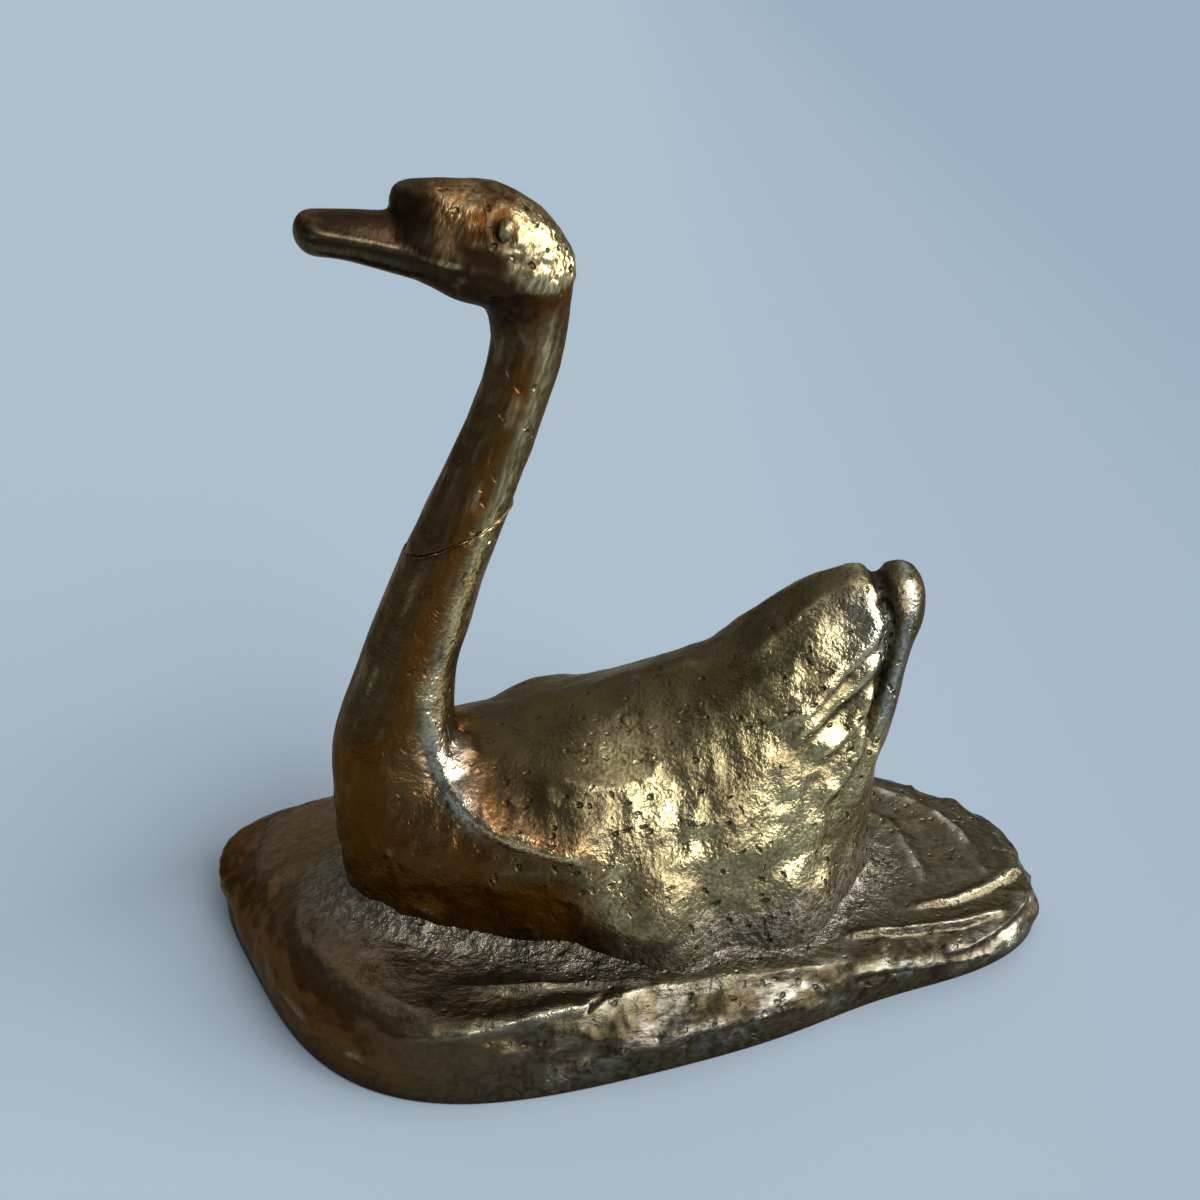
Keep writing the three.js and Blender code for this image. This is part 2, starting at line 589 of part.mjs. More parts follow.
const pocket = bodyForm(CLEARANCE).trimByPlane([0, 0, 1], POCKET_FLOOR);
const base = waterBase()
  .subtract(pocket)
  .subtract(at(boltHole, boltPlaces.front))
  .subtract(at(boltHole, boltPlaces.rear));

// SCENE
// The origin is on the table, in the middle of the base.
const swanSculpture = new THREE.Group();
const onBase = new THREE.Group();
const { min, max } = base.boundingBox();
onBase.position.set(-(min[0] + max[0]) / 2, -(min[1] + max[1]) / 2, 0);
swanSculpture.add(onBase);

function add(name, body, finish, place = V(0, 0, 0)) {
  const { numProp, vertProperties, triVerts } = body.getMesh();
  const corners = new THREE.InterleavedBuffer(vertProperties, numProp);
  const geometry = new THREE.BufferGeometry();
  geometry.setAttribute('position', new THREE.InterleavedBufferAttribute(corners, 3, 0));
  geometry.setIndex(new THREE.BufferAttribute(triVerts, 1));
  geometry.computeVertexNormals();
  const mesh = new THREE.Mesh(geometry, new THREE.MeshStandardMaterial(finish));
  mesh.name = name;
  mesh.position.copy(place);
  onBase.add(mesh);
}

const BRONZE = { roughness: 0.38, metalness: 0.9 };
const EYE = { color: 0x1c1512, roughness: 0.25, metalness: 0.6 };
const STEEL = { color: 0x8d8d88, roughness: 0.35, metalness: 1 };
add('water_base', base, { ...BRONZE, color: 0x6b6250, roughness: 0.45 });
add('swan_body', swan, { ...BRONZE, color: 0x5e5234 });
add('neck_and_head', head, { ...BRONZE, color: 0x5a3a24 });
add('neck_braze_ring', ringSolid, { ...BRONZE, color: 0x8a6a3c });
add('neck_dowel', dowelSolid, { ...BRONZE, color: 0x8c7a48 });
for (const side of ['left', 'right']) {
  add(`${side}_eye`, ball(EYE_RADIUS), EYE, eyePlaces[side]);
  add(`${side}_core_plug`, plugSolids[side], { ...BRONZE, color: 0x6a5a38 });
}
for (const end of ['front', 'rear']) {
  add(`${end}_fixing_bolt`, boltSolid, STEEL, boltPlaces[end]);
  add(`${end}_washer`, washerSolid, STEEL, boltPlaces[end]);
}

export default swanSculpture;
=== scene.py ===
"""A cast bronze swan swimming on rippled water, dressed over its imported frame.

Shapes are worked out in millimetres in the CAD frame: +X the way the bird swims, +Y its left,
+Z up, the table at Z 0. They go into the meshes in metres.
"""

import math
from types import SimpleNamespace

import bpy
import numpy as np
from bpy.props import FloatProperty, FloatVectorProperty, PointerProperty
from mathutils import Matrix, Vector


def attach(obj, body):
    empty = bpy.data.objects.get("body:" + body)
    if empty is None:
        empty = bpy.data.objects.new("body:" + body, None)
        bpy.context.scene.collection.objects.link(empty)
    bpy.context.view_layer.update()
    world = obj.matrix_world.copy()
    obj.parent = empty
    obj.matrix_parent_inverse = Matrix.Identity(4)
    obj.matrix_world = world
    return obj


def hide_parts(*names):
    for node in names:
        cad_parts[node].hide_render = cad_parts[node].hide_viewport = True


bl_info = {
    "name": "Bronze swan",
    "version": (1, 0, 0),
    "blender": (4, 5, 0),
    "location": "3D View > Sidebar > Swan",
    "description": "Builds a cast bronze swan on a base of rippled water",
    "category": "Add Mesh",
}

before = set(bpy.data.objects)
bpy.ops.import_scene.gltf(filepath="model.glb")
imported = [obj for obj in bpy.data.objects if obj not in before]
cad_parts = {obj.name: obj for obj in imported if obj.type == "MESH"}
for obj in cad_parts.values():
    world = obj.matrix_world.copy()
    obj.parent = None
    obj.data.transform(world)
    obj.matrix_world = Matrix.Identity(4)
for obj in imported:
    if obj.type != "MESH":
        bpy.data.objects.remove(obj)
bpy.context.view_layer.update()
MM = 0.001


def hex_colour(text):
    """Linear RGBA of an sRGB hex value: the standard curve, straight below 0.04045."""
    srgb = np.array([int(text[i : i + 2], 16) for i in (1, 3, 5)]) / 255
    linear = np.where(srgb <= 0.04045, srgb / 12.92, ((srgb + 0.055) / 1.055) ** 2.4)
    return (*linear.tolist(), 1.0)


def size(name, text, default):
    """A length that a user would change, its default given in millimetres."""
    return FloatProperty(
        name=name, description=text, default=default * MM, precision=4, subtype="DISTANCE", unit="LENGTH"
    )


def colour(name, text, default):
    """A colour that a user would change, its default given as sRGB hex."""
    return FloatVectorProperty(
        name=name, description=text, default=hex_colour(default), size=4, subtype="COLOR", min=0, max=1
    )


class SwanSizes(bpy.types.PropertyGroup):
    """Sizes of the castings."""

    turn_radius: size("Turn radius", "Plan radius of the turn that the bird swims", 350)
    axis_x: size("Set forwards", "Bird's middle ahead of the outline's middle", 6)
    axis_y: size("Set sideways", "Bird's middle to the left of the outline's middle", -4.5)
    body_length: size("Body length", "Breast to rump", 123)
    breast_x: size("Breast", "Foremost point of the breast", 65.5)
    body_half_width: size("Body half width", "Half width of the body", 33.5)
    back_height: size("Back height", "Top of the back", 75)
    beam_height: size("Beam height", "Level of the widest part of the body", 38)
    seam_height: size("Seam height", "Level of the brazed joint across the neck", 110)
    seat_height: size("Seat height", "Underside of the bird inside the water", 10.8)
    base_half_length: size("Base half length", "Half length of the water", 93.5)
    base_half_width: size("Base half width", "Half width of the water", 42.5)
    water_height: size("Water height", "Mean level of the water", 17)
    ceiling: size("Hollow", "Roof of the hollow under the base", 6.5)


class SwanColours(bpy.types.PropertyGroup):
    """Colours of the metals and the studio."""

    umber: colour("Umber patina", "Brown patina of the neck, breast and bow", "#60390c")
    umber_dark: colour("Deep umber", "Darker clouds in the umber patina", "#3d250b")
    olive: colour("Olive patina", "Grey-olive patina of the back and the water", "#5e5238")
    olive_dark: colour("Deep olive", "Darker clouds in the olive patina", "#453c28")
    # soot also paints shade: under the head, round the eye's socket, down the neck's back and along the
    # waterline
    soot: colour("Sunk patina", "Dark patina left in hollows and round the rim", "#180e06")
    # gold also paints highlights: the strip towards the nape, the flank's patches and the cheek
    gold: colour("Rubbed bronze", "Metal shown where handling has rubbed the patina off", "#d6c694")
    # also paints highlights: the nape strip, the collar, the wing tip, the tail's rim and glints on the
    # water's wall
    silver: colour("Rubbed crest", "Greyer metal shown along the crests of the water", "#b3b0a2")
    copper: colour("Copper blush", "Reddish metal at the root of the wing and the lores", "#b06a35")
    pewter: colour("Stippled grey", "Grey of the stippled strip along the waterline", "#7c796e")
    # plum also paints shade on the bird's up-facing skin and on the tail's face behind the cleft
    plum: colour("Bill patina", "Purple-brown patina of the bill", "#2a2119")
    steel: colour("Fixing steel", "Plated steel of the bolts and washers", "#8d8d88")
    floor: colour("Floor", "Pale blue-grey paper under the sculpture", "#a4b4c2")
    # painted shade: the floor is drawn darker far off to the right
    floor_far_shade: colour("Far floor", "The paper's deeper tone, far off to the right", "#94a6b8")


def sizes_in_mm(scene):
    """The sizes that a user can change, in millimetres as the shapes take them."""
    group = scene.swan_sizes
    return SimpleNamespace(**{key: round(getattr(group, key) / MM, 3) for key in SwanSizes.__annotations__})


SIDES = (("left", 1), ("right", -1))

# The bird's lines: rows that its surfaces are carried through, in millimetres where no share is named

# along, half width and back height as shares of the body's sizes, squareness of the back
BODY_ROWS = [
    [0, 0.14, 0.72, 2.4], [0.06, 0.45, 0.9, 2.6], [0.142, 0.72, 0.98, 2.2], [0.24, 0.9, 1, 1.75],
    [0.386, 1, 0.95, 1.65], [0.53, 1, 0.885, 1.8], [0.646, 0.93, 0.825, 2], [0.776, 0.78, 0.785, 2.1],
    [0.89, 0.57, 0.75, 2.2], [0.963, 0.34, 0.7, 2.2], [1, 0.1, 0.6, 2.2],
]
BODY_LEAST = 0.8  # least half width, at the rump and the breast
BELLY_POWER = 0.88  # power of the oval below the beam
KEEL_DEPTH = 6  # how far below the table the oval would reach if the seat did not cut it
BEAM_FALL = 24  # how far the widest part sinks towards the rump
BEAM_CLIMB = (0.3, 0.72)  # shares of the body over which it comes up again
# x, y, z of the wing's line, half depth, half thickness, lean in radians
WING_ROWS = [
    [34, 19.4, 44.2, 8, 2.75, 0.3], [18, 25.6, 43.2, 16.4, 4.95, 0.36], [0, 25.4, 44, 19, 5.5, 0.48],
    [-18.2, 20.3, 53, 20, 5.5, 0.55], [-36.3, 15.6, 62, 26, 4.5, 0.36], [-49, 10.4, 66, 28, 3.5, 0.22],
    [-56, 9, 73, 19.5, 1.6, 0.18],
]
WINGS_MEET = (0.4, 0.58)  # shares of the wing's line over which its inner half reaches the other's
WINGS_OVERLAP = 2  # how far past the middle it reaches
WING_INSIDE_POWER = 0.4
# x, z of the tail's line, half width, half thickness
TAIL_ROWS = [
    [-44.5, 38, 13, 10], [-51.5, 58, 13, 8.5], [-55.6, 74, 11, 7.2], [-58.6, 85.5, 9.1, 6.6],
    [-59.6, 92.2, 6, 5], [-59.8, 95.2, 2, 2],
]
TAIL_TILT = 0.25  # rise of the tail's oval for each millimetre forwards
# x, z of the neck's line, radius
NECK_ROWS = [
    [49, 38, 16.2], [52, 58, 13.5], [48.9, 72, 11.2], [45.4, 84, 9.7], [38, 102, 8.6],
    [30, 119, 7.6], [23, 135, 6.9], [19.2, 147, 7.2], [18.8, 158, 8.6],
]
# Centre, its y for the left side, and radii of the balls that fill the neck's foot at each side
SADDLE = (40, 6, 54), (9, 7, 9)
# Shares of the neck's line: the seam's rise from its middle to the nape, and half the gap there
SEAM_SLANT = 0.06
SEAM_GAP = 0.0008
# Radius of the braze and the least of it, which is all that is left at the front
BRAZE_RADIUS = 0.32
BRAZE_LEAST = 0.08
# x, z of the skull's line, half width, rise, fall
SKULL_ROWS = [
    [10, 161.2, 3, 2, 2.5], [11.4, 159.8, 5.2, 6.5, 2.8], [16, 160.7, 8.8, 11.5, 6.2],
    [23.5, 163.2, 10, 13.6, 9], [31.6, 166.5, 9.5, 11.3, 10.6], [37.5, 167.2, 7.4, 11, 8],
    [40.6, 167.4, 5.6, 10.7, 6.4], [42.5, 168.2, 4, 9, 4.4], [43.5, 169, 2, 6.4, 3],
]
SKULL_SQUARE = 2.3
# x, z of the bill's line, half width, half height
BILL_ROWS = [
    [37.8, 166.3, 6.4, 6.5], [44.2, 167.6, 5.8, 5.5], [52, 169.4, 5.8, 4.4], [57.2, 170.2, 5.7, 4],
    [60.9, 170.4, 5.6, 4],
]
BILL_SQUARE = 2.1
BILL_TIP = 60.9
BILL_ROUNDING = 4.2  # length of the rounded tip
# Heights above and below the bill's widest part, and that part's drop, as shares of its half height
BILL_ABOVE, BILL_BELOW, BILL_DROP = 1.3, 0.7, 0.3
EYE = (24, 8.8, 170.4)
EYE_RADII = (1.5, 1.6, 2.2)
EYE_TILT = math.radians(-18)
# radius, height of a plug above the skin, and how far the whole plug is let in
PLUG_PROFILE = [
    (1.7, -9), (1.7, -4), (1.7, -0.6), (1.65, -0.2), (1.5, 0.08), (1.3, 0.2), (0.9, 0.27), (0.45, 0.3),
    (0.15, 0.31),
]
PLUG_SUNK = 0.2
PLUG_GROOVE = 2.1  # radius of the groove round a plug

# Lines drawn on the skin, seen from the side

# x, z of the ledge at the wing's root, from the flank up to the neck
WING_ROOT = [
    (8, 43.5), (20.6, 45.6), (30.7, 47.8), (38.5, 51.2), (42.5, 55.5), (44.5, 62), (45, 70), (44.5, 78),
]
# x, z of the long feathers' edges, from the wing's tip down and forwards
FEATHERS = [
    [(-57, 89), (-52.5, 81), (-45.7, 75.5), (-38.6, 68.8), (-31, 64.5)],
    [(-56, 79), (-49.5, 72.3), (-41, 67), (-33, 62.5)],
    [(-55, 72.5), (-50.7, 64.5), (-44.7, 60.5), (-39, 58)],
    [(-53, 65.5), (-50, 57), (-46, 51), (-40, 47)],
]
# z, x of the cleft between the wings' rear edges and the tail
CLEFT = [
    (46, -52.5), (51, -53.3), (61.2, -52.7), (68, -53.6), (78.4, -55.9), (83, -56.2), (87, -55.2),
    (91, -53.6), (95, -52.4),
]
# x, z of the slit of the mouth
MOUTH = [(30, 162.6), (36, 163.8), (48.4, 167.6), (58.1, 170), (62, 170.4)]
# x, z of the edge of the bare patch between the bill and the eye
LORES = [(26, 177), (29.5, 175), (33.8, 172.9), (35, 170), (34.6, 167.8), (31.9, 164.1)]
# Spots on the skin: x, z of the middle and the reach along each
TAIL_TOP = (-56, 92, 7, 8)
# painted highlight: silvery on the near wing's tip
WING_TIP_HIGHLIGHT = (-53, 84, 7, 9)
# painted shade: halves the flank's rubbed patches in the furrow between its two swells
FURROW_SHADE = (-19, 46, 6, 14)
SHOULDER_GLOW = (43, 54, 8, 9)
SHOULDER_OLIVE = (47, 60, 8, 15)
BILL_STEP = (44, 173.5, 3, 3)

# Size of the even quads that the wax is melted into, and rounds of filling its creases
TRUNK_GRAIN, TRUNK_ROUNDS = 1.5, 150
BIRD_GRAIN, BIRD_ROUNDS = 0.78, 140
HEAD_GRAIN, HEAD_ROUNDS = 0.42, 90
POLE_SHARE = 0.05  # size of the small ring at each end of a shell, as a share of the end ring


def smooth(x, low, high):
    """Smoothstep: 0 below low, 1 above high, and 3t^2 - 2t^3 between."""
    t = np.clip((x - low) / (high - low), 0, 1)
    return t * t * (3 - 2 * t)


def bump(x, width):
    """A bell: exp(-(x / width)^2)."""
    return np.exp(-np.square(x / width))


def spot(x, z, place):
    """A bell over a place seen from the side: its middle (x, z) and its reach along both."""
    mid_x, mid_z, wide, high = place
    return bump(np.hypot((x - mid_x) / wide, (z - mid_z) / high), 1)


def signed_power(v, p):
    """sign(v) |v|^p, which squares or pinches a circle's cosine and sine."""
    return np.sign(v) * np.abs(v) ** p


def around(count):
    """Angles round a ring of count points."""
    return np.linspace(0, 2 * np.pi, count, endpoint=False)


def through(rows, u):
    """Values at shares u of a smooth line through rows of numbers (uniform Catmull-Rom)."""
    rows = np.asarray(rows, float)
    ends = np.concatenate([2 * rows[:1] - rows[1:2], rows, 2 * rows[-1:] - rows[-2:-1]])
    f = np.clip(u, 0, 1) * (len(rows) - 1)
    i = np.minimum(f.astype(int), len(rows) - 2)
    t = (f - i)[:, None]
    a, b, c, d = (ends[i + k] for k in range(4))
    cubic = (3 * b - a - 3 * c + d) * t**3
    return 0.5 * (2 * b + (c - a) * t + (2 * a - 5 * b + 4 * c - d) * t**2 + cubic)


def lattice(points):
    """Value noise between -1 and 1: hashed numbers at whole-number corners, eased between."""
    cell = np.floor(points).astype(np.int64)
    f = points - cell
    f = f * f * f * (f * (6 * f - 15) + 10)
    total = np.zeros(points.shape[:-1])
    for corner in np.ndindex(2, 2, 2):
        k = cell + corner
        h = (k[..., 0] * 73856093) ^ (k[..., 1] * 19349663) ^ (k[..., 2] * 83492791)
        h = ((h ^ (h >> 13)) * 1274126177) & 0x7FFFFFFF
        value = ((h ^ (h >> 16)) & 0xFFFF) / 32767.5 - 1
        total += value * np.prod(np.where(corner, f, 1 - f), -1)
    return total


def turned(p, s):
    """Points of the straight bird carried round the turn it swims.

    Along becomes an angle about the turn's centre and sideways a change of radius.
    """
    angle = p[:, 0] / s.turn_radius
    reach = s.turn_radius - p[:, 1]
    x = s.axis_x + reach * np.sin(angle)
    y = s.axis_y + s.turn_radius - reach * np.cos(angle)
    return np.stack([x, y, p[:, 2]], 1) - base_middle(s)


# Grids and shells


def grid_faces(rows, count):
    """Quads of a grid of rows by count points whose second way is closed into a ring."""
    i = np.arange(rows - 1)[:, None] * count
    j = np.arange(count)
    k = (j + 1) % count
    return np.stack([i + j, i + k, i + k + count, i + j + count], -1).reshape(-1, 4)


def hoop_faces(rows, count):
    """Quads of a grid closed both ways."""
    return grid_faces(rows + 1, count) % (rows * count)


def drawn_in(ring):
    """A small ring in the middle of a ring."""
    middle = ring.mean(1, keepdims=True)
    return middle + (ring - middle) * POLE_SHARE


def capped(rings):
    """(points, quads, lids) of a grid of rings, each end drawn in to a small ring with a lid."""
    rings = np.concatenate([drawn_in(rings[:1]), rings, drawn_in(rings[-1:])])
    rows, count = rings.shape[:2]
    lid = np.arange(count)
    lids = [lid[::-1].tolist(), (lid + (rows - 1) * count).tolist()]
    return rings.reshape(-1, 3), grid_faces(rows, count), lids


def shell(rings):
    """(points, faces) of a grid of rings closed at both ends."""
    p, quads, lids = capped(rings)
    return p, quads.tolist() + lids


def lathe(profile, centre, axis, count=72):
    """(points, faces) of a profile of (radius, height) turned about an axis through a centre."""
    profile = np.asarray(profile, float)
    first = np.cross(axis, [1.0, 0, 0])
    first /= np.linalg.norm(first)
    second = np.cross(axis, first)
    t = around(count)[:, None]
    out = np.cos(t) * first + np.sin(t) * second
    return shell(profile[:, :1, None] * out[None] + profile[:, 1:, None] * axis + centre)


def ball_surface(centre, radii, rows=24, count=48):
    """A ball or egg: rings of latitude, sin a (cos t, sin t) and cos a, from one pole to the other."""
    pole = 0.02
    a = np.linspace(pole, np.pi - pole, rows)[:, None]
    t = around(count)[None]
    parts = np.broadcast_arrays(np.sin(a) * np.cos(t), np.sin(a) * np.sin(t), np.cos(a))
    return np.asarray(centre) + np.stack(parts, -1) * np.asarray(radii)


# The bird's surfaces


def beam(along, s):
    """Level of the body's widest part, which sinks under the water towards the rump."""
    return s.beam_height - BEAM_FALL * (1 - smooth(along, *BEAM_CLIMB))


def body_surface(s, rows=140, count=160):
    """The body, lofted rump to breast: at each place along, an oval above and below the beam.

    Sideways = half width * cos^p, height = beam + rise * sin^p, with p from the row's squareness.
    """
    along, wide, high, square = through(BODY_ROWS, np.linspace(0, 1, rows)).T[..., None]
    x = s.breast_x - s.body_length * (1 - along)
    half = np.maximum(s.body_half_width * wide, BODY_LEAST)
    level = beam(along, s)
    t = around(count)[None]
    above = np.sin(t) > 0
    power = np.where(above, 2 / square, BELLY_POWER)
    rise = np.where(above, s.back_height * high - level, level + KEEL_DEPTH)
    y = half * signed_power(np.cos(t), power)
    z = level + rise * signed_power(np.sin(t), power)
    return np.stack([np.broadcast_to(x, y.shape), y, z], -1)


def wing_surface(side, rows=120, count=160):
    """A folded wing: an upright oval carried along the wing's line, leaning in over the back.

    Across = thickness * cos, up = depth * sin. Its inner half is squared and reaches the other
    wing's, so that aft of the middle the pair lies over the back as one mass.
    """
    u = np.linspace(0, 1, rows)
    x, y, z, depth, thick, lean = through(WING_ROWS, u).T[..., None]
    t = around(count)[None]
    c, d = np.cos(t), np.sin(t)
    inner = c < 0
    zero = np.zeros((rows, 1))
    out = np.concatenate([zero, np.cos(lean), np.sin(lean)], 1)[:, None]
    up = np.concatenate([zero, -np.sin(lean), np.cos(lean)], 1)[:, None]
    joined = smooth(u, *WINGS_MEET)[:, None]
    inside = (thick + joined * (y + WINGS_OVERLAP - thick)) * np.abs(c) ** WING_INSIDE_POWER
    high = depth * signed_power(d, np.where(inner, WING_INSIDE_POWER * joined + 1 - joined, 1))
    flat = (joined * inner)[..., None]
    way = flat * np.array([0.0, 1.0, 0.0]) + (1 - flat) * out
    across = np.where(inner, -inside, thick * c)
    p = np.concatenate([x, y, z], 1)[:, None] + across[..., None] * way + high[..., None] * up
    return p[:, ::side] * np.array([1, side, 1])


def tail_surface(rows=60, count=90):
    """The raised tail: an oval blade carried up the tail's line, wide across the bird."""
    x, z, wide, thick = through(TAIL_ROWS, np.linspace(0, 1, rows)).T[..., None]
    t = around(count)[None]
    return np.stack([x + thick * np.sin(t), wide * np.cos(t), z + TAIL_TILT * thick * np.sin(t)], -1)


def neck_line(u):
    """Middle line (x, z), radius and unit direction of the neck at shares u of its rows."""
    x, z, radius = through(NECK_ROWS, u).T
    step = 1e-3
    before, after = (through(NECK_ROWS, np.clip(u + k, 0, 1))[:, :2] for k in (-step, step))
    ahead = after - before
    return x, z, radius, ahead / np.linalg.norm(ahead, axis=1, keepdims=True)


def neck_surface(start, end, rows=110, count=96):
    """A length of the neck: a circle carried along its line, square to it.

    Start and end are shares of the line, one number or one for each point of the circle.
    """
    w = np.linspace(0, 1, rows)[:, None]
    u = np.broadcast_to(start + (end - start) * w, (rows, count))
    x, z, radius, run = neck_line(u.ravel())
    t = np.tile(around(count), rows)
    fore = radius * np.sin(t)
    p = np.stack([x + fore * run[:, 1], radius * np.cos(t), z - fore * run[:, 0]], 1)
    return p.reshape(rows, count, 3)


def seam_line(s, count=96):
    """Share of the neck's line at which the slanting seam crosses each point of its circle."""
    u = np.linspace(0, 1, 4001)
    middle = np.interp(s.seam_height, through(NECK_ROWS, u)[:, 1], u)
    return middle - SEAM_SLANT * np.sin(around(count))


def bead_surface(s, count=360, sides=14):
    """The braze: a thin irregular bead along the seam.

    Round the neck the tube's middle follows the seam on the skin; its radius comes and goes.
    """
    x, z, radius, run = neck_line(seam_line(s, count))
    t = around(count)
    out = np.stack([np.sin(t) * run[:, 1], np.cos(t), -np.sin(t) * run[:, 0]], 1)
    middle = np.stack([x, np.zeros(count), z], 1) + radius[:, None] * out
    ahead = np.roll(middle, -1, 0) - np.roll(middle, 1, 0)
    ahead /= np.linalg.norm(ahead, axis=1, keepdims=True)
    across = np.cross(ahead, out)
    tube = BRAZE_RADIUS + 0.2 * lattice(middle / 1.3) + 0.1 * lattice(middle / 4)
    tube = np.maximum(tube * smooth(-out[:, 0], -0.5, 0.3), BRAZE_LEAST)[:, None, None]
    middle = middle + 0.3 * lattice(middle / 3 + 9)[:, None] * across
    a = around(sides)[None, :, None]
    return middle[:, None] + tube * (np.cos(a) * out[:, None] + np.sin(a) * across[:, None])


def skull_surface(rows=90, count=96):
    """The skull: a squared oval at each place along, its rise and fall set apart."""
    x, z, wide, rise, fall = through(SKULL_ROWS, np.linspace(0, 1, rows)).T[..., None]
    t = around(count)[None]
    high = signed_power(np.sin(t), 2 / SKULL_SQUARE)
    y = wide * signed_power(np.cos(t), 2 / SKULL_SQUARE)
    return np.stack([np.broadcast_to(x, y.shape), y, z + high * np.where(high > 0, rise, fall)], -1)


def bill_surface(rows=80, count=80):
    """The bill: an oval, fuller above its widest part than below, narrowing to a rounded tip."""
    u = 1 - (1 - np.linspace(0, 1, rows)) ** 1.6
    x, z, wide, high = through(BILL_ROWS, u).T[..., None]
    t = around(count)[None]
    end = np.clip((x - BILL_TIP + BILL_ROUNDING) / (BILL_ROUNDING + 0.05), 0, 1)
    end = np.sqrt(1 - end**2.4)
    y = end * wide * signed_power(np.cos(t), 2 / BILL_SQUARE)
    sine = signed_power(np.sin(t), 2 / BILL_SQUARE)
    rise = sine * np.where(sine > 0, BILL_ABOVE, BILL_BELOW) - BILL_DROP
    return np.stack([np.broadcast_to(x, y.shape), y, z + end * high * rise], -1)


def plug_place(side):
    """Where a core plug meets the skin, and the way it faces: up the left flank, lower on the right."""
    place, tilt = ((1.1, 10.7, 66.2), 62) if side > 0 else ((1.1, -20.5, 58), 45)
    tilt = np.radians(tilt)
    return np.array(place), np.array([0, side * np.cos(tilt), np.sin(tilt)])


# The water's surface

SHORE_POWER = 3.4  # squareness of the shore
BOW_SPREAD = 0.31  # how much wider the bow is than the middle, as a share
BAY_PLACE, BAY_REACH, BAY_DEPTH = -0.5, 0.28, 3.5  # shares of the half length, and millimetres
CAD_SPREAD = 1.6  # the frame's foot beyond the shore
FOOT_SPREAD = 1.2  # the visual foot beyond the shore
FOOT_LEVEL = 1  # where the wall ends, over a rounded rim
WATERLINE = 21  # level at which the bird's outline is taken
UNDER_BIRD = 0.8  # how far the top starts inside that outline
BANK_HEIGHT, BANK_REACH = 4.5, 5  # the bank of water at the bird, and how fast it falls off
SEAT_GAP = 0.3  # the seat's floor under the bird
LEVEL_SHARE = 0.56  # share of the rows that run out level, before the turn over the edge
WATER_ROWS, WATER_COUNT = 104, 640
# Crests: bearing in degrees at which one starts and how far round it runs, its way up from the
# foot of the wall at its start, middle and end, its height and its half width
CRESTS = [
    (36, 54, (33, 27, 20), 1.8, 2.6),
    (30, 118, (15.5, 19.5, 12), 2.6, 3),
    (66.5, 4, (18, 19, 20), -3, 1.2),
    (56, 86, (4.5, 9.5, 4), 2, 2.2),
    (138, 30, (10.5, 8, 2.5), 2.4, 2.4),
    (146, 22, (21, 18, 12), 2.4, 2.8),
    (163, 15, (31, 20, 10), 2.2, 2.8),
    (155, 18, (9, 9.5, 11), 2, 2),
    (168, 52, (34, 40, 33), 1.8, 3.6),
    (172, 50, (20, 26, 20), 2, 3.2),
    (186, 120, (12, 17, 14), 2.4, 3),
    (205, 95, (5, 9, 5), 1.8, 2.2),
    (222, 90, (22, 22, 27), 2, 2.8),
    (292, 66, (9, 12, 7), 2, 2.6),
    (300, 40, (20, 24, 18), 1.6, 3.4),
    (4, 34, (8, 10, 5), 1.2, 2.4),
]


def shore(angle, inset, s):
    """Edge of the water: a squared oval, wider to the bow, its ends leaning across, with one bay."""
    c, d = np.cos(angle), np.sin(angle)
    scale = (np.abs(c) ** SHORE_POWER + np.abs(d) ** SHORE_POWER) ** (1 / SHORE_POWER)
    along = c / scale
    across = (s.base_half_width * (1 + BOW_SPREAD * along) - inset) * d / scale
    across = across - BAY_DEPTH * bump(along - BAY_PLACE, BAY_REACH) * (d > 0)
    return np.stack([(s.base_half_length - inset) * along - (0.14 + 0.25 * along) * across, across], -1)


def base_middle(s):
    """Middle of the box of the water's foot, which is the frame's origin."""
    rim = shore(np.linspace(0, 2 * np.pi, 721), -CAD_SPREAD, s)
    return np.array([*(rim.min(0) + rim.max(0)) / 2, 0.0])


def waterline(s, level, count=720):
    """Plan outline of the bird at a level, from the same ovals as its body."""
    along, wide, high, square = through(BODY_ROWS, np.linspace(0, 1, count)).T
    x = s.breast_x - s.body_length * (1 - along)
    middle = beam(along, s)
    power = np.where(level > middle, 2 / square, BELLY_POWER)
    rise = np.where(level > middle, s.back_height * high - middle, middle + KEEL_DEPTH)
    sine = (np.abs(level - middle) / rise) ** (1 / power)
    y = s.body_half_width * wide * np.sqrt(1 - sine**2) ** power
    outline = np.concatenate([np.stack([x, y], 1), np.stack([x, -y], 1)[::-1]])
    return turned(np.column_stack([outline, np.zeros(len(outline))]), s)[:, :2]


def polar(outline, bearing):
    """Distance of an outline from the middle at each bearing."""
    a = np.arctan2(outline[:, 1], outline[:, 0])
    order = np.argsort(a)
    return np.interp(bearing, a[order], np.hypot(*outline[order].T), period=2 * np.pi)


def water_level(x, y, s):
    """Level of the water: a climb to the bow, a swell at the breast, a lower far bow, a lump astern."""
    climb = 5.5 * x / s.base_half_length
    swell = 4 * bump(np.hypot((x - 64) / 17, (y - 6) / 22), 1)
    fall = 5 * smooth(x, 40, 95) * smooth(-y, -20, 25)
    lump = 4 * bump(np.hypot(x + 66, y + 26), 22)
    return s.water_height + climb + swell - fall + lump


